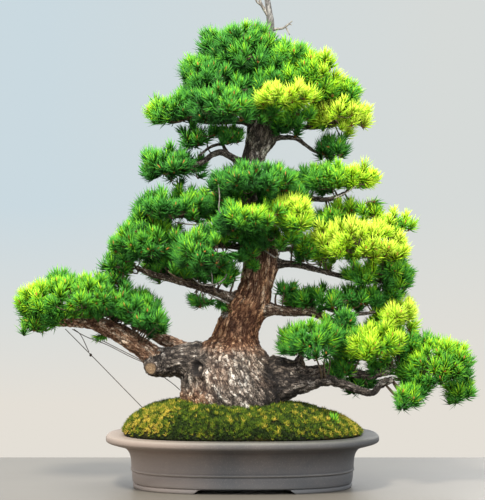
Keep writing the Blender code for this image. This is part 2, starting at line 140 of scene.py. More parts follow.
# Stems: each is a route like the trunk's, starting inside the wood that it grows from.
STEMS = metres({
    "limb_left_log": [
        (-70, 0, 270, 46), (-105, -4, 278, 39), (-140, -10, 280, 33), (-170, -18, 277, 28),
        (-194, -34, 270, 20.5), (-203, -62, 266, 15),
    ],
    "limb_left_rise": [
        (-184, -14, 276, 20), (-208, -16, 295, 22), (-237, -20, 317, 21.5), (-271, -22, 340, 20.5),
        (-303, -22, 354, 18), (-335, -20, 363, 12), (-376, -18, 366, 9), (-430, -14, 364, 6),
    ],
    "limb_left_rear": [
        (-120, 18, 290, 20), (-144, 30, 309, 16.5), (-188, 42, 330, 14.5), (-212, 48, 345, 12),
        (-250, 55, 362, 8),
    ],
    "branch_left_mid": [
        (15, 0, 408, 12), (-30, -12, 424, 10.5), (-96, -20, 447, 9.5), (-150, -16, 462, 8),
        (-202, -8, 475, 6.5), (-240, -2, 490, 5),
    ],
    "branch_left_inner": [
        (35, -5, 530, 10), (-10, -12, 537, 7.5), (-55, -18, 539, 6), (-110, -12, 532, 4.5),
    ],
    "branch_left_high": [
        (25, -2, 622, 10), (-30, -10, 616, 7.5), (-68, -16, 612, 6), (-130, -22, 610, 4.5),
    ],
    "branch_left_upper": [
        (22, 0, 716, 10), (-18, -3, 736, 8.5), (-44, -5, 750, 8), (-67, -6, 746, 6.8), (-92, -8, 728, 6),
        (-140, -8, 712, 4.5),
    ],
    "branch_left_crown": [
        (45, 0, 812, 10), (-5, -3, 822, 7.5), (-70, 0, 820, 6), (-130, 2, 828, 4.5),
    ],
    "branch_right_base_upper": [
        (50, -8, 250, 38), (100, -12, 256, 30), (125, -14, 254, 24), (145, -16, 256, 15),
        (164, -18, 260, 11.5), (213, -22, 261, 10.2), (263, -26, 251, 9), (295, -26, 251, 7.5),
        (333, -22, 264, 6), (380, -12, 272, 4.5),
    ],
    "branch_right_base_lower": [
        (50, -22, 222, 34), (95, -30, 222, 27), (120, -36, 226, 21), (142, -40, 229, 15.5),
        (162, -43, 233, 12.2), (185, -46, 238, 10), (220, -48, 232, 8.2), (256, -48, 218, 7.2),
        (288, -46, 210, 6.8), (309, -42, 228, 5.4), (334, -36, 240, 4.5),
    ],
    "branch_right_lower": [
        (20, 0, 396, 16), (64, -6, 395, 12.8), (111, -12, 391, 11.3), (152, -16, 391, 10.5),
        (192, -22, 374, 9), (216, -28, 350, 7),
    ],
    "branch_right_mid": [
        (40, 0, 502, 12), (76, -4, 499, 9), (118, -8, 497, 7.5), (153, -10, 489, 7), (206, -12, 475, 6),
        (263, -10, 462, 5), (322, -6, 458, 4),
    ],
    "branch_right_upper": [
        (28, 0, 662, 10), (90, -8, 650, 7), (158, -14, 645, 6), (196, -16, 644, 5), (230, -16, 658, 4),
    ],
    "branch_right_top": [
        (42, 0, 788, 10), (79, 2, 785, 6.5), (120, 6, 784, 5.2), (143, 10, 769, 4.8), (166, 14, 754, 4.2),
        (196, 20, 752, 3.5),
    ],
    "branch_right_crown": [
        (50, 0, 820, 10), (100, -3, 812, 7), (160, -3, 808, 5.5), (205, 0, 816, 4.5),
    ],
    "branch_rear_mid": [
        (38, 10, 530, 12), (60, 70, 532, 8), (120, 120, 536, 6), (180, 150, 540, 4.5),
    ],
})

# Small wood that only the finished tree has, as routes like the stems'.
SIDE_TWIGS = metres([
    [(160, -12, 391, 6), (185, -20, 399, 5.2), (215, -26, 394, 5), (249, -26, 386, 4.4), (275, -24, 387, 4),
     (300, -22, 391, 3.4)],
    [(5, -10, 375, 14), (-18, -14, 380, 11), (-36, -17, 383, 8.5), (-47, -18, 381, 5)],
    [(-30, -8, 744, 5), (-40, -10, 758, 4.2), (-47, -12, 768, 3.6), (-72, -14, 762, 3.4),
     (-98, -14, 742, 2.8)],
    [(108, -14, 262, 12), (124, -22, 278, 9.5), (131, -28, 292, 7.5), (134, -34, 304, 5.5)],
])
DEAD_TWIGS = metres([
    [(62, 0, 1030, 4.5), (78, -2, 1031, 3), (92, -3, 1033, 2.6), (102, -4, 1040, 2.2),
     (113, -5, 1049, 1.2)],
    [(98, -4, 1036, 2), (103, -4, 1026, 1.8), (107, -4, 1017, 1)],
    [(103, -4, 1041, 1.6), (108, -8, 1041, 1.4), (111, -11, 1039, 1)],
    [(60, -3, 1058, 4.6), (50, -5, 1074, 4), (41, -6, 1090, 3.4), (38, -7, 1108, 2.6), (36, -7, 1124, 1.2)],
    [(44, -6, 1084, 3), (34, -7, 1091, 2.4), (28, -8, 1100, 1.2)],
    [(-52, -172, 668, 1.6), (-49, -182, 640, 1.8), (-50, -188, 610, 2), (-36, -188, 596, 2.2),
     (-24, -180, 584, 2.4)],
    [(-110, -70, 466, 1.8), (-90, -120, 452, 2.4), (-60, -125, 452, 2.6), (-41, -120, 463, 2.2),
     (-35, -110, 474, 1.8)],
    [(-66, -124, 452, 2), (-66, -128, 466, 1.8), (-68, -130, 480, 1.2)],
    [(46, -60, 530, 3), (60, -64, 520, 2.8), (73, -62, 512, 2.6), (82, -58, 520, 2.2), (80, -52, 534, 1.4)],
    [(104, -40, 530, 2.6), (112, -42, 516, 2.4), (120, -42, 512, 1.8)],
    [(140, -50, 512, 3), (143, -54, 502, 3.4), (152, -52, 496, 3), (170, -44, 498, 2.2)],
    [(-75, -62, 505, 3), (-50, -58, 513, 2.6), (-26, -50, 508, 2.4), (0, -40, 512, 3)],
    [(-75, -90, 430, 2.6), (-55, -86, 420, 2.4), (-30, -70, 410, 3)],
    [(200, -120, 640, 1.8), (226, -110, 652, 1.8), (250, -100, 668, 1.4)],
    [(-150, -60, 590, 2.6), (-110, -90, 584, 2.4), (-70, -90, 588, 2.2)],
    [(20, -60, 822, 3.4), (45, -64, 832, 3), (66, -64, 838, 2.6), (90, -60, 834, 2)],
    [(-30, -60, 826, 3), (0, -60, 829, 2.8), (30, -50, 824, 3)],
])

# Bark of the stems: 0 is nearly black, 0.5 grey and 1 red-brown.
WOOD_ZONES = {
    "limb_left_log": 0.16, "limb_left_rise": 0.86, "limb_left_rear": 0.78, "branch_right_base_upper": 0.50,
    "branch_right_base_lower": 0.14, "branch_right_lower": 0.70, "branch_left_mid": 0.60,
}
PLAIN_ZONE = 0.25
# Height on the trunk, how short the bark plates are there, and how fast they wind round it.
BARK_FLOW = [(0.10, 1.25, 5.5), (0.26, 1.15, 4.5), (0.33, 0.66, 1.5), (0.60, 0.60, 0.5), (1.15, 0.60, 0.0)]
PLAIN_FLOW = [(0.0, 1.0, 0.0)]
# Height on the trunk, and how much of the bark's relief is left there.
BARK_DEPTH = [(0.0, 1.0), (0.30, 1.0), (0.46, 0.75), (0.70, 0.7), (0.86, 0.45), (1.0, 0.2), (1.16, 0.1)]
# Flakes of the bark's colour, as a share of its plates.
FLAKE = 0.62
# The healed knot's x and z, and the sawn end's middle, direction and radius.
HEALED_KNOT = (-0.096, 0.266)
SAWN_END = ((-0.203, -0.062, 0.266), (-0.009, -0.028, -0.004), 0.0146)
# The finished trunk starts lower than the frame's, and has so many sides and this gap between its rows.
TRUNK_FOOT = metres((-24, 0, 104, 94))
TRUNK_SIDES = 216
TRUNK_ROW_GAP = 0.0031
# Heights between which the trunk's red-brown bark comes and goes, its grey foot ends and its dead top starts.
RED_COMES = (0.285, 0.33)
RED_GOES = (0.45, 0.60)
GREY_FOOT_ENDS = (0.27, 0.34)
DEAD_TOP_STARTS = (1.000, 1.035)
# A limb's sides are about this wide, and it has at least and at most so many.
LIMB_SIDE_WIDTH = 0.0026
LIMB_SIDES = (14, 96)

# Pads of needles: how yellow they are from 0 to 1, partly their own colour and partly painted sunlight, and
# how that painted light changes to the right and towards the top.
PADS = {
    "crown_top": (0.28, 0.06, 0.08), "crown_right": (0.60, 0.14, 0.10), "crown_left": (0.28, -0.16, 0.10),
    "crown_rear": (0.42, 0.10, 0.12), "tier_left": (0.34, -0.26, 0.10), "tier_front": (0.28, 0.06, 0.08),
    "tier_front_right": (0.88, -0.02, 0.06), "tier_right": (0.88, 0.02, 0.06),
    "upper_left": (0.24, -0.08, 0.10), "upper_right": (0.22, 0.02, 0.06), "upper_rear": (0.36, 0.08, 0.10),
    "mid_right": (0.56, 0.24, 0.10), "mid_front": (0.27, 0.06, 0.04), "mid_left": (0.27, -0.04, 0.08),
    "left_end": (0.34, -0.06, 0.08), "left_inner": (0.36, 0.02, 0.10), "front_centre": (0.42, 0.10, 0.12),
    "front_right": (0.76, 0.04, 0.10), "right_big": (0.84, 0.00, 0.10), "right_end": (0.34, 0.06, 0.08),
    "under_left": (0.34, 0.02, 0.10), "low_row": (0.32, -0.04, 0.10), "low_bright": (0.84, 0.04, 0.06),
    "low_inner": (0.36, 0.02, 0.12), "low_centre": (0.70, 0.04, 0.10), "low_outer": (0.46, -0.06, 0.12),
    "hanging": (0.42, 0.00, 0.10), "left_low": (0.44, -0.20, 0.06), "left_lobe": (0.30, 0.00, 0.10),
    "rear_right": (0.50, 0.10, 0.12), "rear_centre": (0.38, 0.04, 0.12), "rear_left": (0.38, -0.04, 0.12),
}

# Looser sprays of older needles that fill the spaces between the pads: centre and half sizes in
# millimetres, and yellowness.
INNER_SPRAYS = {
    "needles_inner_crown": [
        (60, 0, 950, 80, 70, 45, 0.4), (-40, -45, 925, 72, 60, 40, 0.24), (75, -65, 918, 56, 50, 36, 0.36),
        (205, 0, 888, 66, 60, 36, 0.4), (-105, 10, 880, 60, 50, 35, 0.28),
        (-98, -10, 797, 50, 50, 30, 0.24), (10, -60, 968, 60, 50, 34, 0.28),
        (95, -30, 826, 45, 50, 22, 0.3), (110, -50, 972, 55, 55, 36, 0.56),
        (236, -10, 893, 36, 50, 30, 0.44), (10, -80, 890, 50, 40, 30, 0.26),
        (160, -60, 902, 50, 40, 30, 0.52), (20, 60, 920, 110, 50, 60, 0.32),
        (40, -85, 852, 62, 40, 26, 0.38), (125, -70, 842, 50, 40, 24, 0.54),
        (-28, -30, 802, 36, 40, 18, 0.26), (-112, -10, 955, 26, 30, 22, 0.36),
    ],
    "needles_inner_middle": [
        (-30, -60, 648, 90, 60, 34, 0.3), (90, -60, 658, 66, 60, 34, 0.34),
        (-35, -80, 575, 90, 60, 34, 0.28), (72, -80, 568, 72, 60, 34, 0.36),
        (128, -30, 606, 48, 56, 30, 0.42), (-82, -30, 492, 70, 60, 28, 0.28),
        (-212, 0, 600, 56, 80, 34, 0.32), (150, -30, 545, 50, 60, 28, 0.46),
        (-150, -30, 488, 70, 70, 26, 0.3), (340, 20, 508, 42, 50, 30, 0.32),
        (-5, -80, 545, 50, 50, 24, 0.3), (305, -30, 490, 85, 60, 26, 0.46),
        (258, -10, 630, 60, 60, 26, 0.56), (340, -10, 602, 50, 50, 20, 0.66),
        (205, -20, 614, 46, 50, 22, 0.52), (-280, -10, 502, 46, 50, 28, 0.32),
        (-34, -40, 476, 30, 40, 34, 0.3), (82, -135, 618, 36, 35, 34, 0.82),
    ],
    "needles_inner_low": [
        (362, 0, 335, 60, 70, 34, 0.44), (322, 0, 376, 50, 50, 28, 0.5), (215, -50, 345, 48, 60, 30, 0.34),
        (300, 0, 438, 70, 60, 24, 0.34), (392, -30, 238, 40, 50, 34, 0.36),
        (-236, -20, 410, 60, 80, 34, 0.3), (-400, -30, 396, 76, 70, 26, 0.36),
        (-200, -30, 372, 36, 36, 22, 0.22), (231, -50, 378, 30, 34, 26, 0.28),
        (240, -30, 318, 48, 50, 34, 0.38), (98, -10, 446, 36, 40, 22, 0.28),
        (488, -10, 224, 40, 50, 26, 0.42), (268, 10, 242, 36, 40, 16, 0.26),
        (328, -20, 286, 52, 40, 18, 0.42), (225, -20, 282, 40, 40, 14, 0.34),
        (-408, 10, 468, 32, 40, 24, 0.32), (-335, 0, 462, 52, 50, 22, 0.34),
        (-452, -30, 378, 46, 50, 22, 0.44), (-300, -40, 400, 60, 50, 20, 0.28),
        (-246, -36, 378, 46, 40, 22, 0.24), (106, -40, 336, 28, 40, 26, 0.28),
    ],
}

# Boxes that no tuft ends in, so that the trunk and the sky show between the tiers: two opposite corners.
OPEN_PLACES = metres([
    (-10, -300, 395, 76, 20, 520), (-70, -300, 720, 120, 20, 785), (200, -300, 930, 280, 300, 990),
    (-14, -300, 938, 32, -30, 980),
])
# Boxes in front of limbs that no needle reaches into, so that the limbs show.
BARE_PLACES = metres([
    (-216, -300, 456, -160, 0, 484), (-162, -300, 446, -118, 0, 474), (-120, -300, 436, -78, 0, 466),
    (-80, -300, 422, -38, 0, 454), (-40, -300, 410, 10, 0, 442), (-400, -300, 350, -330, -10, 376),
    (-332, -300, 336, -262, -10, 378), (-264, -300, 310, -215, -10, 356), (-100, -300, 712, -20, -6, 764),
    (-2, -300, 628, 42, -20, 652), (-62, -300, 526, -6, -10, 546),
])

# A pad's underside is this flat, and its widest level is this far up its box.
PAD_UNDERSIDE = 0.86
PAD_RISE_SHARE = 0.462
# A tuft is dropped if no more than this share of its needles is clear of the bare places.
TUFT_KEPT = 0.45
# Buds stand on tufts that are fuller than this, and on this share of them.
BUD_FULL = 0.9
BUD_SHARE = 0.58
# Share of the tufts that have a second one deeper in the pad, darker as painted shade.
INNER_SHARE = 0.36
# A tuft's shoot is this share of its needles' length, and they lean out from it by these degrees.
SHOOT_SHARE = 0.32
LEAN_AT_FOOT = 84.0
LEAN_AT_TIP = 18.0
# Radii of the thinnest and thickest bough, and of a fine twig and a loose tuft's twig from root to tip.
BOUGH_RADII = (0.0016, 0.0030)
FINE_TWIG_RADII = (0.0016, 0.0012)
LOOSE_TWIG_RADII = (0.0014, 0.0010)
BUD_WIDTHS = (0.0048, 0.0070)
# Needles of a loose tuft are this share of the others' length.
LOOSE_TUFT_SIZE = 0.72
# Small tufts on bare wood: the tip's place in millimetres, direction and yellowness. The last is a seedling.
LOOSE_TUFTS = [
    (-340, -20, 330, -0.9, -0.3, -0.25, 0.46), (-330, -10, 324, -0.6, 0.1, -0.6, 0.46),
    (-316, -16, 326, -0.2, -0.5, -0.6, 0.46), (22, -66, 508, -0.2, -0.6, 0.5, 0.34),
    (36, -62, 498, 0.5, -0.6, 0.4, 0.34), (8, -64, 500, -0.6, -0.5, 0.3, 0.4),
    (134, -36, 322, 0.1, -0.3, 0.8, 0.3), (250, -18, 372, 0.3, -0.3, 0.8, 0.3),
    (236, -20, 362, -0.5, -0.4, 0.6, 0.3), (266, -16, 362, 0.6, -0.2, 0.6, 0.3),
    (-122, -28, 412, -0.6, -0.3, -0.6, 0.3), (-104, -20, 402, -0.2, -0.3, -0.8, 0.28),
    (-82, -32, 398, 0.3, -0.4, -0.8, 0.26), (-60, -20, 396, -0.4, -0.3, -0.7, 0.28),
    (-42, -34, 390, 0.2, -0.4, -0.7, 0.24), (-26, -22, 384, -0.3, -0.2, -0.8, 0.26),
    (200, -90, 172, 0.0, 0.0, 1.0, 0.5),
]

# Wires: straight or gently bent routes between two places on the tree or in the moss.
WIRES = metres({
    "wire_guy": [(-398, -20, 352), (-340, -22, 294), (-283, -23, 236), (-224, -24, 176)],
    "wire_guy_tail": [(-378, -27, 352), (-362, -28, 338), (-344, -27.5, 301)],
    "wire_twist": [(-381, -32, 352), (-347, -36, 334), (-304, -40, 318), (-250, -44, 291),
                   (-222, -46, 279)],
    "wire_brace": [(-310, -49, 326), (-268, -52, 305), (-222, -54, 282)],
    "wire_brace_low": [(-174, -30, 243), (-156, -30, 230), (-140, -30, 216)],
})
WIRE_DIAMETER = 0.0018
WIRE_POINTS = 17
KNOT_PLACE = (-0.340, -0.0285, 0.294)
KNOT_RADIUS = 0.0030
KNOT_STRETCH = 1.25


# ---------------------------------------------------------------------------------------------
# Numbers in space
# ---------------------------------------------------------------------------------------------

def unit(vectors):
    """Vectors divided by their own lengths."""
    return vectors / np.maximum(np.linalg.norm(vectors, axis=-1, keepdims=True), 1e-12)


def smooth_step(values, low, high):
    """0 below low, 1 above high, and 3t² - 2t³ between them."""
    t = np.clip((values - low) / (high - low), 0.0, 1.0)
    return t * t * (3.0 - 2.0 * t)


def hashed(cell, seed):
    """A number from 0 to 1 for each whole-number place: a sum of large multiples, folded on itself twice."""
    h = cell[..., 0] * 374761393 + cell[..., 1] * 668265263 + cell[..., 2] * 1440662683 + seed * 974634777
    h = (h ^ (h >> 13)) & 0xFFFFFFFF
    h = (h * 1274126177) & 0xFFFFFFFF
    h = (h ^ (h >> 16)) & 0xFFFFFFFF
    return h / 4294967296.0


def soft_noise(places, seed):
    """Smooth noise from 0 to 1: a random number at each corner of a unit lattice, blended by 3t² - 2t³."""
    cell = np.floor(places).astype(np.int64)
    t = places - cell
    t = t * t * (3.0 - 2.0 * t)
    total = 0.0
    for corner in itertools.product((0, 1), repeat=3):
        offset = np.array(corner)
        weight = np.prod(np.where(offset == 1, t, 1.0 - t), axis=-1)
        total = total + weight * hashed(cell + offset, seed)
    return total


def rough_noise(places, seed, layers):
    """Layers of smooth noise, each twice as fine and half as strong as the one before, from 0 to 1."""
    total, weight = 0.0, 0.0
    for layer in range(layers):
        total = total + soft_noise(places * 2.0 ** layer, seed + layer) * 0.5 ** layer
        weight += 0.5 ** layer
    return total / weight


def plates(places, seed):
    """Cell pattern with one random seed point to a unit cube.

    Returns how much nearer the nearest seed point is than the next one, which falls to 0 on the borders
    between cells, and the nearest cell's own random number.
    """
    base = np.floor(places).astype(np.int64)
    near = np.full(places.shape[:-1], 9.0)
    second = near.copy()
    own = np.zeros(near.shape)
    for step in itertools.product((-1, 0, 1), repeat=3):
        cell = base + np.array(step)
        point = cell + np.stack([hashed(cell, seed + k) for k in (1, 2, 3)], axis=-1)
        gap = np.linalg.norm(places - point, axis=-1)
        closer = gap < near
        second = np.where(closer, near, np.minimum(second, gap))
        own = np.where(closer, hashed(cell, seed + 4), own)
        near = np.where(closer, gap, near)
    return second - near, own


def smooth_route(route, spacing):
    """Rows along a Catmull-Rom curve through a route's rows, about a spacing apart."""
    knots = np.array(route, float)
    reach = np.concatenate(([0.0], np.cumsum(np.linalg.norm(np.diff(knots[:, :3], axis=0), axis=1))))
    count = max(4, int(round(reach[-1] / spacing)) + 1)
    at = np.interp(np.linspace(0.0, reach[-1], count), reach, np.arange(len(knots)))
    i = np.clip(np.floor(at).astype(int), 0, len(knots) - 2)
    t = (at - i)[:, None]
    padded = np.vstack([2.0 * knots[0] - knots[1], knots, 2.0 * knots[-1] - knots[-2]])
    a, b, c, d = (padded[i + k] for k in range(4))
    bend, twist = 2 * a - 5 * b + 4 * c - d, 3 * b - a - 3 * c + d
    return 0.5 * (2 * b + (c - a) * t + bend * t ** 2 + twist * t ** 3)


def frames_along(line, reference):
    """Tangent, side and up vectors along a line: the side is the reference less its part along the line."""
    tangent = unit(np.gradient(line, axis=0))
    side = unit(reference - tangent * np.sum(tangent * reference, axis=-1, keepdims=True))
    return tangent, side, np.cross(tangent, side)


def oval(half, angle):
    """x and y of the superellipse |x/a|^n + |y/b|^n = 1 at an angle from its middle."""
    cos, sin = np.cos(angle), np.sin(angle)
    share = np.abs(cos / half[0]) ** OVAL_POWER + np.abs(sin / half[1]) ** OVAL_POWER
    reach = share ** (-1.0 / OVAL_POWER)
    return reach * cos, reach * sin


def full_turn(count):
    """Even angles once round, without the last, which is the first again."""
    return np.linspace(0.0, 2.0 * math.pi, count, endpoint=False)


def spun(turn, side, other):
    """Directions at an angle from a side vector towards another one square to it."""
    return np.cos(turn)[..., None] * side + np.sin(turn)[..., None] * other


def hump(gap, width):
    """A smooth hump exp(-(gap / width)²), 1 where the gap is 0."""
    return np.exp(-(gap / width) ** 2)


# ---------------------------------------------------------------------------------------------
# Meshes
# ---------------------------------------------------------------------------------------------

def grid_faces(rows, columns):
    """Quads of a grid whose last column meets its first, and fans to a pole before and after it."""
    row = np.arange(rows - 1)[:, None] * columns
    here = np.arange(columns)[None, :]
    after = (here + 1) % columns
    quads = np.stack([row + here, row + after, row + columns + after, row + columns + here], axis=-1)
    ring = np.arange(columns)
    following = (ring + 1) % columns
    last = (rows - 1) * columns
    first_fan = np.stack([following, ring, np.full(columns, rows * columns)], axis=-1)
    last_fan = np.stack([last + ring, last + following, np.full(columns, rows * columns + 1)], axis=-1)
    return [quads.reshape(-1, 4), first_fan, last_fan]


def closed_grid(surface, first_pole, last_pole):
    """Points and faces of a grid of points, closed round its columns and by a pole at each end."""
    rows, columns = surface.shape[:2]
    points = np.vstack([surface.reshape(-1, 3), first_pole, last_pole])
    return points, grid_faces(rows, columns)


def joined(parts):
    """Points and faces of several bodies as one set."""
    points, faces, offset = [], [], 0
    for some_points, some_faces in parts:
        points.append(some_points)
        faces.extend(group + offset for group in some_faces)
        offset += len(some_points)
    return np.vstack(points), faces


def copied(groups, count, size):
    """The faces of one small body, as groups of rows, repeated for many bodies of so many points each."""
    shift = (np.arange(count) * size)[:, None, None]
    return [(group[None] + shift).reshape(-1, group.shape[1]) for group in groups]


def outwards(points, faces):
    """The faces, turned over if their signed volume is negative, so that they point outwards."""
    volume = 0.0
    for group in faces:
        corners = points[group] - points[0]
        for k in range(1, group.shape[1] - 1):
            volume += np.sum(corners[:, 0] * np.cross(corners[:, k], corners[:, k + 1]))
    return [group[:, ::-1] for group in faces] if volume < 0.0 else faces


def add_piece(name, points, faces, material):
    """A mesh object from points and groups of faces, turned the right way out, riding on the tree's body."""
    faces = outwards(points, faces)
    mesh = bpy.data.meshes.new(name)
    corners = np.concatenate([group.ravel() for group in faces]).astype(np.int32)
    sizes = np.concatenate([np.full(len(group), group.shape[1]) for group in faces])
    mesh.vertices.add(len(points))
    mesh.vertices.foreach_set("co", points.astype(np.float32).ravel())
    mesh.loops.add(len(corners))
    mesh.loops.foreach_set("vertex_index", corners)
    mesh.polygons.add(len(sizes))
    mesh.polygons.foreach_set("loop_start", np.concatenate(([0], np.cumsum(sizes)[:-1])).astype(np.int32))
    mesh.polygons.foreach_set("use_smooth", np.full(len(sizes), True))
    mesh.update(calc_edges=True)
    mesh.materials.append(material)
    obj = bpy.data.objects.new(name, mesh)
    bpy.context.scene.collection.objects.link(obj)
    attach(obj, BODY)
    return obj


def add_marks(obj, name, marks):
    """Store three numbers for each point of a mesh, which its material reads by that name."""
    layer = obj.data.attributes.new(name, "FLOAT_COLOR", "POINT")
    colours = np.ones((len(obj.data.vertices), 4), np.float32)
    colours[:, :3] = marks
    layer.data.foreach_set("color", colours.ravel())


def add_blades(name, groups, material):
    """One piece from sets of blades, with a UV map of the place along each blade and the blade's tint."""
    points, faces = joined([group[:2] for group in groups])
    piece = add_piece(name, points, faces, material)
    along, tint = (np.concatenate([group[k] for group in groups]) for k in (2, 3))
    layer = piece.data.uv_layers.new(name=STRAND_MAP)
    layer.data.foreach_set("uv", np.stack([along, tint], axis=-1).astype(np.float32).ravel())
    return piece


STRAND_MAP = "OFBake"
STRAND_SIDES = 3
STRAND_WIDTHS = (1.0, 0.92)
TINT_WIDTH = 0.016


def strands(line, across, thickness, tint):
    """Thin three-sided blades, each from its foot, through a middle if its line has one, to a sharp tip.

    A ring of three points stands round every place of the line but the last, square to the blade, and the
    tip is one point. Returns the points, the faces, and each face corner's place along the blade and tint.
    """
    count, rings = len(across), len(line) - 1
    other = np.cross(unit(line[1] - line[0]), across)
    ring = spun(full_turn(STRAND_SIDES), across[:, None], other[:, None]) * (thickness * 0.5)[:, None, None]
    round_line = [place[:, None] + width * ring for place, width in zip(line[:-1], STRAND_WIDTHS)]
    points = np.concatenate([*round_line, line[-1][:, None]], axis=1)
    tip = rings * STRAND_SIDES
    sides = [(k, (k + 1) % STRAND_SIDES) for k in range(STRAND_SIDES)]
    quads = [(a, b, b + STRAND_SIDES, a + STRAND_SIDES) for a, b in sides]
    tips = [(a + tip - STRAND_SIDES, b + tip - STRAND_SIDES, tip) for a, b in sides]
    last = (0.04, 0.5)[rings - 1]
    # Each group of faces, with the places along the blade and the widths of the tint at its corners.
    groups = [
        (quads, (0.04, 0.04, 0.5, 0.5), (0.0, 1.0, 1.0, 0.0)), (tips, (last, last, 0.97), (0.0, 1.0, 0.5)),
        ([(2, 1, 0)], (0.0, 0.02, 0.04), (0.0, 1.0, 0.0)),
    ][2 - rings:]
    faces = copied([np.array(group) for group, _, _ in groups], count, tip + 1)
    along = np.concatenate([np.tile(places, len(group) * count) for group, places, _ in groups])
    tints = [tint[:, None] + TINT_WIDTH * np.tile(widths, len(group)) for group, _, widths in groups]
    return points.reshape(-1, 3), faces, along, np.concatenate([part.ravel() for part in tints])


# ---------------------------------------------------------------------------------------------
# Node expressions and materials
# ---------------------------------------------------------------------------------------------

def colour(red, green, blue):
    """A display colour of 0 to 255 as the linear colour that shaders use."""
    parts = [c / 255.0 for c in (red, green, blue)]
    return tuple(c / 12.92 if c <= 0.04045 else ((c + 0.055) / 1.055) ** 2.4 for c in parts) + (1.0,)


class Value:
    """A number socket that adds a Math node for each operator used on it."""

    def __init__(self, finish, socket):
        self.finish = finish
        self.socket = socket

    def _math(self, operation, first, second, clamp=False):
        """A Math node on two values, kept from 0 to 1 if clamped."""
        settings = {"operation": operation, "use_clamp": clamp}
        made = self.finish.node("ShaderNodeMath", settings, {0: first, 1: second})
        return Value(self.finish, made.outputs[0])

    def __add__(self, other):
        return self._math("ADD", self, other)

    def __radd__(self, other):
        return self._math("ADD", other, self)

    def __sub__(self, other):
        return self._math("SUBTRACT", self, other)

    def __rsub__(self, other):
        return self._math("SUBTRACT", other, self)

    def __mul__(self, other):
        return self._math("MULTIPLY", self, other)

    def __rmul__(self, other):
        return self._math("MULTIPLY", other, self)

    def held(self, low=0.0, high=1.0):
        """The value taken from low..high to 0..1 and kept there."""
        return self._math("ADD", (self - low) * (1.0 / (high - low)), 0.0, clamp=True)


class Finish:
    """One material and the nodes that make its colour, roughness and relief."""

    def __init__(self, name, roughness=0.8, metallic=0.0, specular=0.35):
        self.material = bpy.data.materials.new(name)
        self.material.use_nodes = True
        self.tree = self.material.node_tree
        self.shader = self.tree.nodes["Principled BSDF"]
        self.shader.inputs["Roughness"].default_value = roughness
        self.shader.inputs["Metallic"].default_value = metallic
        self.shader.inputs["Specular IOR Level"].default_value = specular

    def node(self, kind, settings=None, inputs=None):
        """Add any node: its settings first, a ramp's stops among them, and then its sockets."""
        made = self.tree.nodes.new(kind)
        for key, value in (settings or {}).items():
            if key == "stops":
                self._set_stops(made.color_ramp, value)
            else:
                setattr(made, key, value)
        for key, value in (inputs or {}).items():
            self.feed(made.inputs[key], value)
        return made

    def _set_stops(self, ramp, stops):
        """Give a ramp its stops: rows of a position and a display colour."""
        while len(ramp.elements) < len(stops):
            ramp.elements.new(1.0)
        for element, (position, *tone) in zip(ramp.elements, stops):
            element.position = position
            element.color = colour(*tone)

    def feed(self, socket, value):
        """Link a socket to another one, or set it to a plain value."""
        source = value.socket if isinstance(value, Value) else value
        if isinstance(source, bpy.types.NodeSocket):
            self.tree.links.new(source, socket)
        else:
            socket.default_value = source

    def place(self, scale=(1.0, 1.0, 1.0)):
        """Object coordinates, stretched."""
        where = self.node("ShaderNodeTexCoord").outputs["Object"]
        return self.node("ShaderNodeMapping", None, {"Vector": where, "Scale": scale}).outputs[0]

    def split(self, source, kind="ShaderNodeSeparateXYZ"):
        """The three numbers of a vector or a colour."""
        return [Value(self, part) for part in self.node(kind, None, {0: source}).outputs]

    def marks(self, name):
        """The three numbers stored at each point under a name."""
        found = self.node("ShaderNodeAttribute", {"attribute_name": name}).outputs["Color"]
        return self.split(found, "ShaderNodeSeparateColor")

    def noise(self, scale, detail=3.0, roughness=0.55, where=None):
        """Noise about 0.5, so many waves to a metre."""
        sockets = {"Vector": where or self.place(), "Scale": scale, "Detail": detail, "Roughness": roughness}
        return Value(self, self.node("ShaderNodeTexNoise", None, sockets).outputs[0])

    def cells(self, scale, where=None, feature="F1"):
        """Distance to the nearest of many points, so many to a metre, or to the border between two."""
        sockets = {"Vector": where or self.place(), "Scale": scale}
        made = self.node("ShaderNodeTexVoronoi", {"feature": feature}, sockets)
        return Value(self, made.outputs["Distance"])

    def ramp(self, value, stops):
        """Colour that follows a value through its stops."""
        return self.node("ShaderNodeValToRGB", {"stops": stops}, {0: value}).outputs[0]

    def mix(self, share, first, second):
        """Two colours mixed by a share."""
        settings = {"data_type": "RGBA", "clamp_factor": True}
        return self.node("ShaderNodeMix", settings, {0: share, 6: first, 7: second}).outputs[2]

    def bump(self, height, distance, strength):
        """Relief from a height, on the shader's Normal."""
        sockets = {"Height": height, "Distance": distance, "Strength": strength}
        self.set("Normal", self.node("ShaderNodeBump", None, sockets).outputs[0])

    def set(self, socket, value):
        """Feed one of the shader's sockets."""
        self.feed(self.shader.inputs[socket], value)


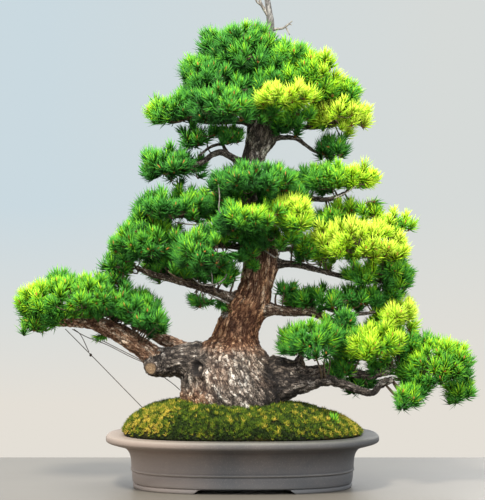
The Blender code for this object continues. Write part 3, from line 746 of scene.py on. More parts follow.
def stoneware_finish(settings):
    """Unglazed clay: warm and cool clouds, dark and pale grains, painted shade in the grooves and on the
    right, painted light on edges and the left.
    """
    clay = Finish("stoneware", roughness=0.62, specular=0.4)
    edge_light_and_groove_shade, shelf, height = clay.marks("clay")
    clouds = clay.noise(7.0, 4.0, 0.6)
    grains = clay.noise(900.0, 2.0, 0.7)
    flecks = clay.noise(420.0, 1.0, 0.5)
    streaks = clay.noise(38.0, 3.0, 0.6, clay.place((1.0, 1.0, 7.0)))
    cool = (*settings.pot_colour, 1.0)
    warm = (*settings.pot_warm_and_lit_colour, 1.0)
    across, _, _ = clay.split(clay.place())
    # Warm and cool clouds. The warm tone also grows towards the left, as painted light on that side.
    tone = clay.mix((clouds.held(0.40, 0.64) * 0.5 + (0.06 - across) * 1.8).held(), cool, warm)
    tone = clay.mix(streaks.held(0.30, 0.75) * 0.35, tone, colour(74, 70, 68))
    tone = clay.mix(flecks.held(0.60, 0.74) * 0.26, tone, colour(170, 162, 148))
    tone = clay.mix(grains.held(0.60, 0.74) * 0.60, tone, colour(46, 42, 40))
    tone = clay.mix((1.0 - height).held(0.2, 1.0) * 0.55, tone, colour(112, 114, 117))
    tone = clay.mix(shelf * 0.75, tone, colour(98, 97, 86))
    # Painted shade in the grooves, then painted highlights on the raised edges.
    tone = clay.mix((0.0 - edge_light_and_groove_shade).held() * 0.75, tone, colour(40, 37, 36))
    tone = clay.mix(edge_light_and_groove_shade.held() * 0.30, tone, colour(146, 144, 134))
    # Painted light on the left side and painted shade on the right side.
    tone = clay.mix((0.0 - across).held(0.04, 0.27) * 0.66, tone, colour(172, 152, 138))
    tone = clay.mix(across.held(0.04, 0.26) * 0.55, tone, colour(42, 43, 47))
    clay.set("Base Color", tone)
    clay.set("Roughness", 0.72 - 0.22 * clouds)
    clay.bump(grains * 0.6 + flecks * 0.4, 0.0006, 0.5)
    return clay.material


def soil_finish():
    """Potting grit: dark grains with paler ones among them."""
    soil = Finish("soil", roughness=0.95, specular=0.2)
    grains = soil.cells(260.0)
    tone = soil.mix(grains.held(0.1, 0.6), colour(92, 70, 50), colour(34, 26, 20))
    soil.set("Base Color", soil.mix(soil.noise(120.0).held(0.58, 0.70), tone, colour(150, 122, 90)))
    soil.bump(1.0 - grains, 0.002, 0.8)
    return soil.material


def mesh_finish():
    """Black plastic net: a square weave of pale threads over dark openings."""
    net = Finish("plastic_mesh", roughness=0.55)
    sockets = {"Vector": net.place(), "Scale": 120.0}
    waves = [net.node("ShaderNodeTexWave", {"bands_direction": way}, sockets) for way in "XY"]
    across, down = (Value(net, wave.outputs[1]) for wave in waves)
    thread = (across + down).held(0.8, 1.2)
    net.set("Base Color", net.mix(thread, colour(12, 12, 12), colour(46, 46, 44)))
    net.bump(thread, 0.001, 0.7)
    return net.material


def moss_bed_finish():
    """The felt under the moss heads, painted dark as the shade between them and darkest at the borders of its
    tufts.
    """
    bed = Finish("moss_shade_bed", roughness=0.95, specular=0.2)
    tuft = bed.cells(190.0)
    shade = bed.mix(tuft.held(0.15, 0.65), colour(44, 56, 14), colour(14, 18, 6))
    bed.set("Base Color", bed.mix(bed.noise(16.0).held(0.5, 0.66), shade, colour(56, 48, 14)))
    bed.bump(1.0 - tuft, 0.003, 0.8)
    return bed.material


def strand_finish(name, stops, roughness, foot_shade):
    """Needles or moss leaves: the tint picks a colour, and the foot of each is darker than its tip, as
    painted shade.
    """
    strand = Finish(name, roughness=roughness, specular=0.18)
    along, tint, _ = strand.split(strand.node("ShaderNodeUVMap", {"uv_map": STRAND_MAP}).outputs[0])
    shade = (1.0 - along).held(0.25, 0.95) * foot_shade
    strand.set("Base Color", strand.mix(shade, strand.ramp(tint, stops), colour(26, 44, 14)))
    return strand.material


def bark_finish():
    """Flaking bark: plates in grey, tan, cream and red-brown, with near-black cracks between them.

    The plates are cells on the limb's own round-and-along place, bent by noise, so that they follow the limb.
    """
    bark = Finish("bark", roughness=0.88, specular=0.25)
    plate, tone, zone = bark.marks("bark")
    skin = bark.node("ShaderNodeAttribute", {"attribute_name": "bark_place"}).outputs["Vector"]
    bend = bark.node("ShaderNodeTexNoise", None, {"Vector": skin, "Scale": 1.6, "Detail": 3.0})
    bent = bark.node("ShaderNodeVectorMath", {"operation": "MULTIPLY_ADD"}, {
        0: bend.outputs["Color"], 1: (1.5, 1.5, 1.5), 2: skin}).outputs[0]
    crack = bark.cells(1.0, bent, "DISTANCE_TO_EDGE")
    fold = bark.cells(0.40, bent, "DISTANCE_TO_EDGE")
    own = bark.node("ShaderNodeTexVoronoi", None, {"Vector": bent, "Scale": 1.0}).outputs["Color"]
    flake, _, _ = bark.split(own, "ShaderNodeSeparateColor")
    fine = bark.noise(330.0, 4.0, 0.65)
    broad = bark.noise(46.0, 3.0, 0.6)
    pick = (tone * 0.62 + flake * 0.55 + fine * 1.20 + broad * 0.60 - 0.97).held()
    grey = bark.ramp(pick, [
        (0.0, 40, 36, 35), (0.30, 88, 78, 70), (0.55, 142, 126, 112),
        (0.76, 190, 176, 162), (1.0, 236, 228, 216)])
    red = bark.ramp(pick, [
        (0.0, 50, 33, 25), (0.30, 122, 82, 58), (0.55, 172, 122, 88),
        (0.78, 208, 158, 114), (1.0, 240, 214, 184)])
    dark = bark.ramp(pick, [
        (0.0, 34, 31, 30), (0.35, 80, 72, 66), (0.65, 128, 116, 106),
        (1.0, 206, 196, 184)])
    mixed = bark.mix(zone.held(0.0, 0.5), dark, grey)
    mixed = bark.mix(zone.held(0.5, 1.0), mixed, red)
    furrow = bark.mix(zone.held(0.5, 1.0), colour(34, 30, 28), colour(60, 32, 20))
    face = crack.held(0.0, 0.10) * fold.held(0.0, 0.07) * plate.held(-0.40, 0.50)
    bare = bark.ramp(bark.noise(150.0, 3.0, 0.6, bark.place((1.0, 1.0, 0.3))), [
        (0.30, 62, 58, 57), (0.50, 112, 108, 105), (0.70, 172, 168, 163)])
    bark.set("Base Color", bark.mix(zone.held(1.2, 1.8), bark.mix(face, furrow, mixed), bare))
    bark.set("Roughness", 0.95 - 0.18 * face)
    bark.bump(crack.held(0.0, 0.25) * 0.6 + fine * 0.4, 0.0030, 0.8)
    return bark.material


def twig_finish():
    """Young wood: brown grey, mottled darker and paler."""
    twig = Finish("twig_bark", roughness=0.8, specular=0.25)
    grain = twig.noise(320.0, 3.0, 0.6)
    twig.set("Base Color", twig.ramp(grain, [
        (0.25, 46, 37, 30), (0.5, 88, 73, 58), (0.75, 142, 124, 102)]))
    twig.bump(grain, 0.0008, 0.6)
    return twig.material


def dead_wood_finish():
    """Bare dead wood: silver grey with long dark checks."""
    dead = Finish("dead_wood", roughness=0.7, specular=0.3)
    grain = dead.noise(260.0, 3.0, 0.6, dead.place((1.0, 1.0, 0.25)))
    dead.set("Base Color", dead.ramp(grain, [
        (0.25, 56, 51, 48), (0.45, 112, 105, 98), (0.75, 178, 172, 162)]))
    dead.bump(grain, 0.001, 0.6)
    return dead.material


def cut_wood_finish():
    """Sawn wood: tan with growth rings round its own middle."""
    cut = Finish("cut_wood", roughness=0.75)
    ring, edge, _ = cut.marks("rings")
    grain = cut.noise(240.0)
    wave = cut.node("ShaderNodeMath", {"operation": "SINE"}, {0: ring * 34.0 + grain * 3.0})
    rings = Value(cut, wave.outputs[0])
    face = cut.mix(rings.held(-1.0, 1.0) * grain.held(0.3, 0.6), colour(96, 74, 54), colour(186, 158, 122))
    cut.set("Base Color", cut.mix(edge, face, colour(64, 52, 44)))
    cut.bump(rings, 0.0005, 0.4)
    return cut.material


def wire_finish():
    """Dark annealed wire with dull patches."""
    wire = Finish("wire", roughness=0.45, metallic=0.85, specular=0.5)
    patches = wire.noise(160.0)
    wire.set("Base Color", wire.mix(patches.held(0.4, 0.65), colour(58, 52, 48), colour(104, 92, 82)))
    wire.set("Roughness", 0.35 + 0.3 * patches)
    return wire.material


# Colours along the tint, which also carries painted light and shade: needles from deep green to yellow, then
# brown buds, and moss from dark to dry.
NEEDLE_STOPS = [
    (0.00, 36, 84, 34), (0.16, 54, 120, 44), (0.34, 74, 152, 52),
    (0.50, 104, 180, 48), (0.66, 150, 212, 36), (0.80, 198, 240, 38),
    (0.90, 222, 248, 84), (0.93, 150, 88, 40), (1.00, 204, 138, 68),
]
BUD_TINT = 0.955
BUD_TINT_RANGE = (0.938, 0.98)
NEEDLE_TINT_TOP = 0.88
MOSS_STOPS = [
    (0.0, 20, 32, 8), (0.25, 56, 78, 14), (0.50, 86, 110, 20),
    (0.75, 152, 144, 38), (1.0, 220, 186, 78),
]


# ---------------------------------------------------------------------------------------------
# Settings that a user would change
# ---------------------------------------------------------------------------------------------

class BonsaiStageSettings(bpy.types.PropertyGroup):
    """Camera, light and backdrop."""
    lens: bpy.props.FloatProperty(
        name="Lens", description="Focal length on a 36 mm sensor", default=110.5, min=20.0)
    camera_place: bpy.props.FloatVectorProperty(
        name="Camera", description="Where the camera stands", default=(0.0, -3.47, 0.4475),
        subtype="TRANSLATION", unit="LENGTH")
    camera_tilt: bpy.props.FloatProperty(
        name="Tilt", description="How far the camera looks up from level", default=math.radians(1.36),
        subtype="ANGLE")
    wall_left: bpy.props.FloatVectorProperty(
        name="Left", description="Backdrop at the left", default=colour(202, 217, 224)[:3], subtype="COLOR")
    wall_right: bpy.props.FloatVectorProperty(
        name="Right", description="Backdrop at the right", default=colour(214, 218, 216)[:3], subtype="COLOR")
    wall_low: bpy.props.FloatVectorProperty(
        name="Low", description="Backdrop near the floor", default=colour(228, 223, 214)[:3], subtype="COLOR")
    fill: bpy.props.FloatProperty(
        name="Fill", description="Strength of the light from all round", default=1.32, min=0.0)
    fill_colour: bpy.props.FloatVectorProperty(
        name="Fill colour", description="Tone of the light from all round", default=(0.93, 0.97, 1.0),
        subtype="COLOR")
    key: bpy.props.FloatProperty(
        name="Key", description="Power of the lamp at the upper left", default=198.0, min=0.0,
        unit="POWER")


class BonsaiPotSettings(bpy.types.PropertyGroup):
    """Stoneware tray."""
    pot_colour: bpy.props.FloatVectorProperty(
        name="Clay", description="Cool tone of the clay", default=colour(72, 73, 76)[:3], subtype="COLOR")
    # The warm tone is also the painted light on the pot's left side.
    pot_warm_and_lit_colour: bpy.props.FloatVectorProperty(
        name="Warm clay", description="Warm tone of the clay", default=colour(124, 109, 100)[:3],
        subtype="COLOR")
    segments: bpy.props.IntProperty(
        name="Segments", description="Columns round the oval", default=208, min=32)


class BonsaiMossSettings(bpy.types.PropertyGroup):
    """Moss mound."""
    heads: bpy.props.IntProperty(
        name="Heads", description="How many moss heads stand on the mound", default=11000, min=100)
    leaf_length: bpy.props.FloatProperty(
        name="Leaf", description="Length of one moss leaf", default=0.0092, unit="LENGTH")
    lump: bpy.props.FloatProperty(
        name="Cushion", description="Height of the soft cushions", default=0.006, unit="LENGTH")


class BonsaiWoodSettings(bpy.types.PropertyGroup):
    """Trunk, limbs and branches."""
    relief: bpy.props.FloatProperty(
        name="Relief", description="Depth of the furrows at the foot of the trunk", default=0.0042,
        unit="LENGTH")
    plate_width: bpy.props.FloatProperty(
        name="Plate width", description="Width of a bark plate on the trunk", default=0.0115, unit="LENGTH")
    plate_length: bpy.props.FloatProperty(
        name="Plate length", description="Length of a bark plate on the trunk", default=0.024, unit="LENGTH")
    blend: bpy.props.FloatProperty(
        name="Collar", description="How far the wood swells where a limb joins", default=0.034, unit="LENGTH")


class BonsaiFoliageSettings(bpy.types.PropertyGroup):
    """Needles."""
    needle_length: bpy.props.FloatProperty(
        name="Needle length", description="Length of a full needle", default=0.030, unit="LENGTH")
    needle_width: bpy.props.FloatProperty(
        name="Needle width", description="Width of a pair of needles", default=0.0026, unit="LENGTH")
    needles: bpy.props.IntProperty(
        name="Needles", description="Needle pairs in one tuft", default=40, min=4)
    spacing: bpy.props.FloatProperty(
        name="Spacing", description="Distance from one tuft to the next", default=0.0278, unit="LENGTH")


# ---------------------------------------------------------------------------------------------
# Stage
# ---------------------------------------------------------------------------------------------

def add_lamp(name, place, target, size, power, tone):
    """Large square lamp that looks at a target."""
    lamp = bpy.data.lights.new(name, "AREA")
    lamp.size, lamp.energy, lamp.color = size, power, tone
    obj = bpy.data.objects.new(name, lamp)
    ahead = unit(target - np.array(place))
    obj.location = place
    obj.rotation_euler = (math.acos(-ahead[2]), 0.0, math.atan2(-ahead[0], ahead[1]))
    obj.visible_camera = False
    bpy.context.scene.collection.objects.link(obj)


def add_world(settings):
    """Even light from all round."""
    world = bpy.data.worlds.new("fill_light")
    bpy.context.scene.world = world
    world.use_nodes = True
    back = world.node_tree.nodes["Background"]
    back.inputs["Color"].default_value = (*settings.fill_colour, 1.0)
    back.inputs["Strength"].default_value = settings.fill


def wall_finish(name, settings, spread, top, drop):
    """A glowing wall, cooler at the left and warmer near the floor, seen from its front only.

    The left tone gives way to the right one over the spread on either side of the middle, and both to the
    low one over the drop below the top.
    """
    wall = Finish(name, roughness=1.0, specular=0.0)
    x, _, z = wall.split(wall.place())
    tone = wall.mix(x.held(-spread, spread), (*settings.wall_left, 1.0), (*settings.wall_right, 1.0))
    tone = wall.mix((top - z).held(0.0, drop), tone, (*settings.wall_low, 1.0))
    wall.set("Base Color", (0.0, 0.0, 0.0, 1.0))
    wall.set("Emission Color", tone)
    wall.set("Emission Strength", 1.0)
    wall.set("Alpha", 1.0 - Value(wall, wall.node("ShaderNodeNewGeometry").outputs["Backfacing"]))
    return wall.material


def add_stage_mesh(name, points, faces, material):
    """One part of the stage, from rows of points and faces."""
    mesh = bpy.data.meshes.new(name)
    mesh.from_pydata(points, [], faces)
    mesh.materials.append(material)
    obj = bpy.data.objects.new(name, mesh)
    bpy.context.scene.collection.objects.link(obj)
    return obj


def add_floor():
    """A wide plain floor, a little cloudy."""
    ground = Finish("floor", roughness=0.45, specular=0.4)
    cloud = ground.noise(5.0)
    ground.set("Base Color", ground.mix(cloud.held(0.30, 0.70), colour(110, 104, 95), colour(114, 108, 99)))
    far = FLOOR_HALF
    corners = [(-far, -far, 0.0), (far, -far, 0.0), (far, far, 0.0), (-far, far, 0.0)]
    add_stage_mesh("floor", corners, [(0, 1, 2, 3)], ground.material)


def add_backdrop(settings):
    """A wall behind the tree and a wide shell of the same tones all round, which give the tree no light."""
    turn = full_turn(48)[None, :]
    rise = np.linspace(-1.45, 1.45, 25)[:, None]
    reach = np.cos(rise)
    surface = np.stack([reach * np.cos(turn), reach * np.sin(turn), np.sin(rise) + 0.0 * turn], axis=-1)
    points, faces = closed_grid(surface * BACKDROP_RADIUS, -BACKDROP_RADIUS * UP, BACKDROP_RADIUS * UP)
    inwards = [face[::-1] for group in outwards(points, faces) for face in group.tolist()]
    wide, high = BACKDROP_WALL
    corners = [(-wide, WALL_Y, 0.0), (wide, WALL_Y, 0.0), (wide, WALL_Y, high), (-wide, WALL_Y, high)]
    walls = [
        ("backdrop", points.tolist(), inwards, (1.6, 1.1, 1.6)),
        ("wall", corners, [(0, 1, 2, 3)], (0.52, 0.66, 0.52)),
    ]
    for name, places, shape, glow in walls:
        wall = add_stage_mesh(name, places, shape, wall_finish(name, settings, *glow))
        wall.visible_diffuse = wall.visible_glossy = wall.visible_shadow = False


class BONSAI_OT_stage(bpy.types.Operator):
    """Camera, lamps, backdrop and floor"""
    bl_idname = "bonsai.stage"
    bl_label = "Stage"

    def execute(self, context):
        settings = context.scene.bonsai_stage
        camera = bpy.data.cameras.new("camera")
        camera.lens = settings.lens
        camera.clip_start, camera.clip_end = 0.1, 50.0
        view = bpy.data.objects.new("camera", camera)
        view.location = settings.camera_place
        view.rotation_euler = (math.pi / 2.0 + settings.camera_tilt, 0.0, 0.0)
        context.scene.collection.objects.link(view)
        context.scene.camera = view
        context.scene.view_settings.view_transform = "Standard"
        add_world(settings)
        add_backdrop(settings)
        middle = 0.55 * UP
        add_lamp("key", (-0.7, -2.3, 3.3), middle, 0.7, settings.key, (1.0, 0.97, 0.90))
        add_lamp("soft", (2.6, -2.2, 1.8), middle, 2.2, settings.key * 0.26, (0.96, 0.97, 1.0))
        add_lamp("back", (1.7, 3.0, 2.4), middle, 2.0, settings.key * 0.30, (1.0, 1.0, 1.0))
        add_floor()
        return {"FINISHED"}


# ---------------------------------------------------------------------------------------------
# Wires
# ---------------------------------------------------------------------------------------------

class BONSAI_OT_wires(bpy.types.Operator):
    """Guy and brace wires of the low left limb"""
    bl_idname = "bonsai.wires"
    bl_label = "Wires"

    def execute(self, context):
        finish = wire_finish()
        knot = self.add_knot(finish)
        for name, route in WIRES.items():
            knots = [(*place, WIRE_DIAMETER) for place in route]
            reach = sum(math.dist(a, b) for a, b in zip(route, route[1:]))
            line = smooth_route(knots, reach / (WIRE_POINTS - 1))[:, :3]
            wire = self.add_strand(name + "_strand", line, finish)
            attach(wire, BODY)
            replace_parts(wire, name)
            held = [knot] if name == "wire_guy" else []
        return {"FINISHED"}

    def add_knot(self, finish):
        """The twisted knot where two wires join: a small ball with three winding ridges."""
        turn = full_turn(12)[None, :]
        rise = np.linspace(-1.2, 1.2, 9)[:, None]
        lump = np.cos(rise) + 0.12 * np.sin(3.0 * turn + 6.0 * rise)
        high = KNOT_STRETCH * np.sin(rise) + 0.0 * turn
        surface = np.stack([lump * np.cos(turn), 0.8 * lump * np.sin(turn), high], axis=-1)
        middle = np.array(KNOT_PLACE)
        end = KNOT_STRETCH * KNOT_RADIUS * UP
        points, faces = closed_grid(middle + KNOT_RADIUS * surface, middle - end, middle + end)
        knot = add_piece("wire_twisted_knot", points, faces, finish)
        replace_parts(knot, "wire_knot")
        return knot

    def add_strand(self, name, line, finish):
        """One wire as a round curve with capped ends along its line."""
        curve = bpy.data.curves.new(name, "CURVE")
        curve.dimensions = "3D"
        curve.bevel_depth = WIRE_DIAMETER / 2.0
        curve.bevel_resolution = 2
        curve.use_fill_caps = True
        spline = curve.splines.new("POLY")
        spline.points.add(len(line) - 1)
        spline.points.foreach_set("co", np.column_stack([line, np.ones(len(line))]).ravel())
        curve.materials.append(finish)
        wire = bpy.data.objects.new(name, curve)
        bpy.context.scene.collection.objects.link(wire)
        return wire


# ---------------------------------------------------------------------------------------------
# Pot, soil and moss
# ---------------------------------------------------------------------------------------------

def pot_angles(segments):
    """Even angles round the oval, with extra ones where the foot's front and back gaps begin and end."""
    even = full_turn(segments)
    x, _ = oval((POT_HALF[0] - FOOT_INSET, POT_HALF[1] - FOOT_INSET), even)
    extra = []
    for half in (FOOT_GAP_BOTTOM, FOOT_GAP_TOP):
        for side in (-1, 1):
            edge = FOOT_GAP_CENTRE + side * half
            upper = np.interp(-edge, -x[:segments // 2], even[:segments // 2])
            extra += [upper, 2.0 * math.pi - upper]
    return np.unique(np.round(np.concatenate([even, extra]), 6))


class BONSAI_OT_pot(bpy.types.Operator):
    """Oval stoneware tray with a flared flat lip, a raised line and a foot with two gaps"""
    bl_idname = "bonsai.pot"
    bl_label = "Pot"

    def execute(self, context):
        settings = context.scene.bonsai_pot
        angle = pot_angles(settings.segments)[None, :]
        inset, height, edge_light_and_groove_shade = (np.array(column)[:, None] for column in zip(*POT_PROFILE))
        inset, height = inset / 1000.0, height / 1000.0
        x, y = oval((POT_HALF[0] - inset, POT_HALF[1] - inset), angle)
        beyond = np.abs(x - FOOT_GAP_CENTRE)
        share = np.clip((FOOT_GAP_BOTTOM - beyond) / (FOOT_GAP_BOTTOM - FOOT_GAP_TOP), 0.0, 1.0)
        z = np.maximum(height, np.where(height < FOOT_HEIGHT, FOOT_HEIGHT * share, height))
        surface = np.stack([x, y, z + 0.0 * angle], axis=-1)
        points, faces = closed_grid(surface, UNDERSIDE * UP, FLOOR_TOP * UP)
        pot = add_piece("pot_stoneware", points, faces, stoneware_finish(settings))
        shelf = smooth_step(height, 0.110, 0.1168) * (inset < 0.05) * 0.6
        marks = np.stack([edge_light_and_groove_shade + 0.0 * angle, shelf + 0.0 * angle, height / RIM_TOP + 0.0 * angle], axis=-1)
        add_marks(pot, "clay", np.vstack([marks.reshape(-1, 3), np.zeros((2, 3))]))
        for side in (-1, 1):
            self.drill(context, pot, side * DRAIN_HOLE_X)
        pot.data.set_sharp_from_angle(angle=math.radians(50.0))
        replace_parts(pot, "pot")
        soil, net = soil_finish(), mesh_finish()
        for node, finish in (("soil", soil), ("drain_screen_left", net), ("drain_screen_right", net)):
            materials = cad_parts[node].data.materials
            materials.clear()
            materials.append(finish)
        return {"FINISHED"}

    def drill(self, context, pot, x):
        """Cut one drain hole with a plain round cutter, and take the cutter away again."""
        ring = DRAIN_HOLE_RADIUS * spun(full_turn(40), np.array((1.0, 0.0, 0.0)), np.array((0.0, 1.0, 0.0)))
        ends = [np.array((x, 0.0, z)) for z in DRILL_REACH]
        points, faces = closed_grid(np.stack([end + ring for end in ends]), *ends)
        mesh = bpy.data.meshes.new("drill")
        shape = [face for group in outwards(points, faces) for face in group.tolist()]
        mesh.from_pydata(points.tolist(), [], shape)
        tool = bpy.data.objects.new("drill", mesh)
        context.scene.collection.objects.link(tool)
        modifier = pot.modifiers.new("drill", "BOOLEAN")
        modifier.operation, modifier.solver, modifier.object = "DIFFERENCE", "EXACT", tool
        with context.temp_override(object=pot, active_object=pot, selected_objects=[pot]):
            bpy.ops.object.modifier_apply(modifier=modifier.name)
        bpy.data.objects.remove(tool, do_unlink=True)


def moss_height(share, angle):
    """Height of the mound: full and steep at the left, gentler at the right."""
    left = 0.5 - 0.5 * np.cos(angle)
    fall = 1.0 - share ** (1.9 + 2.0 * left)
    return MOSS_BASE + 0.002 + MOSS_RISE * np.maximum(0.0, fall) ** (0.72 - 0.13 * left)


def moss_surface(share, angle, lump):
    """Places on the mound, with soft cushions pushed up on it."""
    x, y = oval(MOSS_HALF, angle)
    flat = np.stack([x * share, y * share, 0.0 * x * share], axis=-1)
    cushions = rough_noise(flat / 0.030, 71, 3) - 0.5
    lumps = rough_noise(flat / MOSS_LUMP, MOSS_LUMP_SEED, 2) - 0.5
    swell = (cushions * 1.6 + lumps * 1.7) * lump * np.minimum(1.0, 6.0 * (1.0 - share) + 0.25)
    return flat + UP * (moss_height(share, angle) + swell)[..., None]


class BONSAI_OT_moss(bpy.types.Operator):
    """Mound of moss, as a felt bed and thousands of small heads standing on it"""
    bl_idname = "bonsai.moss"
    bl_label = "Moss"

    def execute(self, context):
        settings = context.scene.bonsai_moss
        rows, sides = MOSS_GRID
        share = (1.0 - np.linspace(0.0, 1.0, rows) ** 1.6)[:, None] * 0.999 + 0.001
        top = moss_surface(share, full_turn(sides)[None, :], settings.lump)
        edge = top[:1] * (0.985, 0.985, 0.0) + (MOSS_BASE - 0.0004) * UP
        inner = edge * (0.97, 0.97, 0.0) + MOSS_UNDERSIDE * UP
        surface = np.concatenate([inner, edge, top])
        points, faces = closed_grid(surface, MOSS_UNDERSIDE * UP, top[-1, :, 2].mean() * UP)
        bed = add_piece("moss_mound", points, faces, moss_bed_finish())
        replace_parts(bed, "moss")
        self.add_heads(settings)
        return {"FINISHED"}

    def add_heads(self, settings):
        """Leaves in little rosettes, spread over the mound by the golden angle."""
        random = np.random.default_rng(5)
        count, leaves = settings.heads, MOSS_LEAVES
        order = np.arange(count)
        share = np.sqrt((order + 0.5) / count)
        angle = (order * GOLDEN_ANGLE + random.normal(0.0, 0.02, count)) % (2.0 * math.pi)
        foot = moss_surface(share, angle, settings.lump)
        flat = foot * (1.0, 1.0, 0.0)
        clear = np.linalg.norm(flat[:, :2] - np.array(TRUNK[1][:2]), axis=1) > MOSS_CLEAR_OF_TRUNK
        foot, share, flat = foot[clear], share[clear], flat[clear]
        count = len(foot)
        steep = smooth_step(share, 0.72, 1.0)[:, None] * 0.9
        axis = unit(UP + unit(flat) * steep + random.normal(0.0, 0.18, (count, 3)))
        turn = random.uniform(0.0, 2.0 * math.pi, count)[:, None] + full_turn(leaves)
        side = unit(np.cross(axis, random.normal(0.0, 1.0, (count, 3))))
        other = np.cross(axis, side)
        radial = spun(turn, side[:, None], other[:, None])
        lean = random.uniform(*MOSS_LEAF_LEAN, (count, leaves))[..., None]
        ahead = unit(axis[:, None] + radial * lean).reshape(-1, 3)
        across = np.cross(axis[:, None], radial).reshape(-1, 3)
        length = settings.leaf_length * random.uniform(0.7, 1.25, (count * leaves, 1))
        start = np.repeat(foot - axis * MOSS_LEAF_SUNK, leaves, axis=0)
        end = start + (ahead + unit(ahead + UP * 0.1)) * length * 0.5
        tint = self.leaf_tints(flat, leaves, random)
        thickness = np.full(count * leaves, MOSS_LEAF_WIDTH)
        blades = strands([start, end], across, thickness, tint)
        add_blades("moss_heads", [blades], strand_finish("moss_leaf", MOSS_STOPS, 0.8, 0.55))

    def leaf_tints(self, flat, leaves, random):
        """Yellowness of each head's leaves: patchy, drier at the front left and the right, paler on lumps and
        darker between them as painted light and shade.
        """
        count = len(flat)
        patch = rough_noise(flat / 0.07, 91, 3) - 0.5
        dry_left = smooth_step(-flat[:, 0], 0.12, 0.20) * smooth_step(-flat[:, 1], -0.02, 0.08)
        dry_right = smooth_step(flat[:, 0], 0.15, 0.22)
        yellow = 0.22 + 0.4 * patch + 0.44 * dry_left + 0.34 * dry_right
        crown = rough_noise(flat / 0.0055, 95, 2) - 0.5
        # Painted light and shade: heads on the lumps are paler, and those between them darker.
        high = rough_noise(flat / MOSS_LUMP, MOSS_LUMP_SEED, 2) - 0.5
        tint = np.repeat(yellow + 0.7 * crown + 0.9 * high + random.normal(0.0, 0.16, count), leaves)
        return np.clip(tint + random.normal(0.0, 0.10, count * leaves), 0.02, 0.96)


# ---------------------------------------------------------------------------------------------
# Wood
# ---------------------------------------------------------------------------------------------

def limb_gaps(places, routes):
    """Distance from each place to the nearest of several tapered limbs, less that limb's radius."""
    nearest = np.full(places.shape[:-1], 1.0)
    for route in routes:
        line = smooth_route(route, 0.012)
        for a, b in zip(line, line[1:]):
            step = b[:3] - a[:3]
            t = np.clip((places - a[:3]) @ step / max(step @ step, 1e-12), 0.0, 1.0)
            away = np.linalg.norm(places - a[:3] - t[..., None] * step, axis=-1)
            nearest = np.minimum(nearest, away - (a[3] + t * (b[3] - a[3])))
    return nearest


def bark_surface(route, sides, spacing, reference, scale, depth, seed, others, blend, flow=PLAIN_FLOW):
    """Round limb along a route, swollen where others join, with flaking plates and a rough skin.

    The swelling is a quarter of the collar's size times the square of the nearness to the other limb. The
    plates are cells stretched along the limb, raised where a place is well inside its cell.
    """
    line = smooth_route(route, spacing)
    centre, radius = line[:, :3], line[:, 3]
    _, side, up = frames_along(centre, reference)
    angle = full_turn(sides)[None, :]
    outward = spun(angle, side[:, None], up[:, None])
    step = np.linalg.norm(np.diff(centre, axis=0), axis=1)
    heights, *rates = (np.array(column) for column in zip(*flow))
    along, wound = (
        np.concatenate(([0.0], np.cumsum(step * np.interp(centre[1:, 2], heights, rate))))[:, None]
        for rate in rates)
    around = angle + wound
    place = np.stack([radius[:, None] * np.cos(around), radius[:, None] * np.sin(around),
                      along + 0.0 * angle], axis=-1)
    surface = centre[:, None] + outward * radius[:, None, None]
    nearness = np.clip(1.0 - np.abs(limb_gaps(surface, others)) / blend, 0.0, 1.0)
    width, length = scale
    warp = rough_noise(place / (2.2 * width), seed + 40, 2)[..., None] - 0.5
    edge, own = plates((place + warp * width * 0.9) / (width, width, length), seed)
    small_edge, small_own = plates(place / (0.42 * width, 0.42 * width, 0.5 * length), seed + 9)
    plate = smooth_step(edge, 0.02, 0.34) * (0.55 + 0.45 * smooth_step(small_edge, 0.0, 0.30))
    muscle = rough_noise(place / (6.0 * width, 6.0 * width, 5.0 * length), seed + 60, 2) - 0.5
    relief = depth * (plate - 0.55 + 0.55 * (own - 0.5) + 0.25 * (small_own - 0.5)) + 2.2 * depth * muscle
    surface = surface + outward * (relief + 0.25 * blend * nearness ** 2)[..., None]
    tone = 0.6 * own + 0.4 * small_own
    return surface, plate, tone, centre, place / (FLAKE * width, FLAKE * width, FLAKE * length)


def mark_bark(limb, plate, tone, zone, place):
    """Give a limb's points their plate, tone and zone, and their place round and along the limb in flakes."""
    marks = np.stack([plate, tone, np.broadcast_to(zone, plate.shape)], axis=-1).reshape(-1, 3)
    add_marks(limb, "bark", np.vstack([marks, marks[:1], marks[-1:]]))
    layer = limb.data.attributes.new("bark_place", "FLOAT_VECTOR", "POINT")
    flat = place.reshape(-1, 3)
    layer.data.foreach_set("vector", np.vstack([flat, flat[:1], flat[-1:]]).astype(np.float32).ravel())


def add_limb(name, route, finish, settings, others, seed, zone):
    """One stem or side twig as a closed piece of bark."""
    widest = max(point[3] for point in route)
    sides = int(np.clip(2.0 * math.pi * widest / LIMB_SIDE_WIDTH, *LIMB_SIDES))
    depth = min(settings.relief * 0.8, 0.10 * widest)
    width = float(np.clip(0.32 * widest, 0.0032, 0.85 * settings.plate_width))
    level = abs(route[-1][2] - route[0][2]) < 0.7 * math.dist(route[-1][:3], route[0][:3])
    reference = UP if level else np.array((0.0, 1.0, 0.0))
    surface, plate, tone, centre, place = bark_surface(
        route, sides, max(0.0022, widest * 0.10), reference, (width, 2.5 * width), depth, seed, others,
        min(settings.blend, 2.0 * widest))
    tone = tone + 0.45 * max(0.0, zone - 0.5)
    # Painted shade: the base limbs grow darker near the trunk.
    if "base" in name:
        away = np.hypot(surface[..., 0] - TRUNK[2][0], surface[..., 1])
        tone = tone - 0.5 * (1.0 - smooth_step(away, 0.11, 0.17))
    points, faces = closed_grid(surface, centre[0], centre[-1])
    limb = add_piece(name, points, faces, finish)
    mark_bark(limb, plate, tone, zone, place)
    return limb


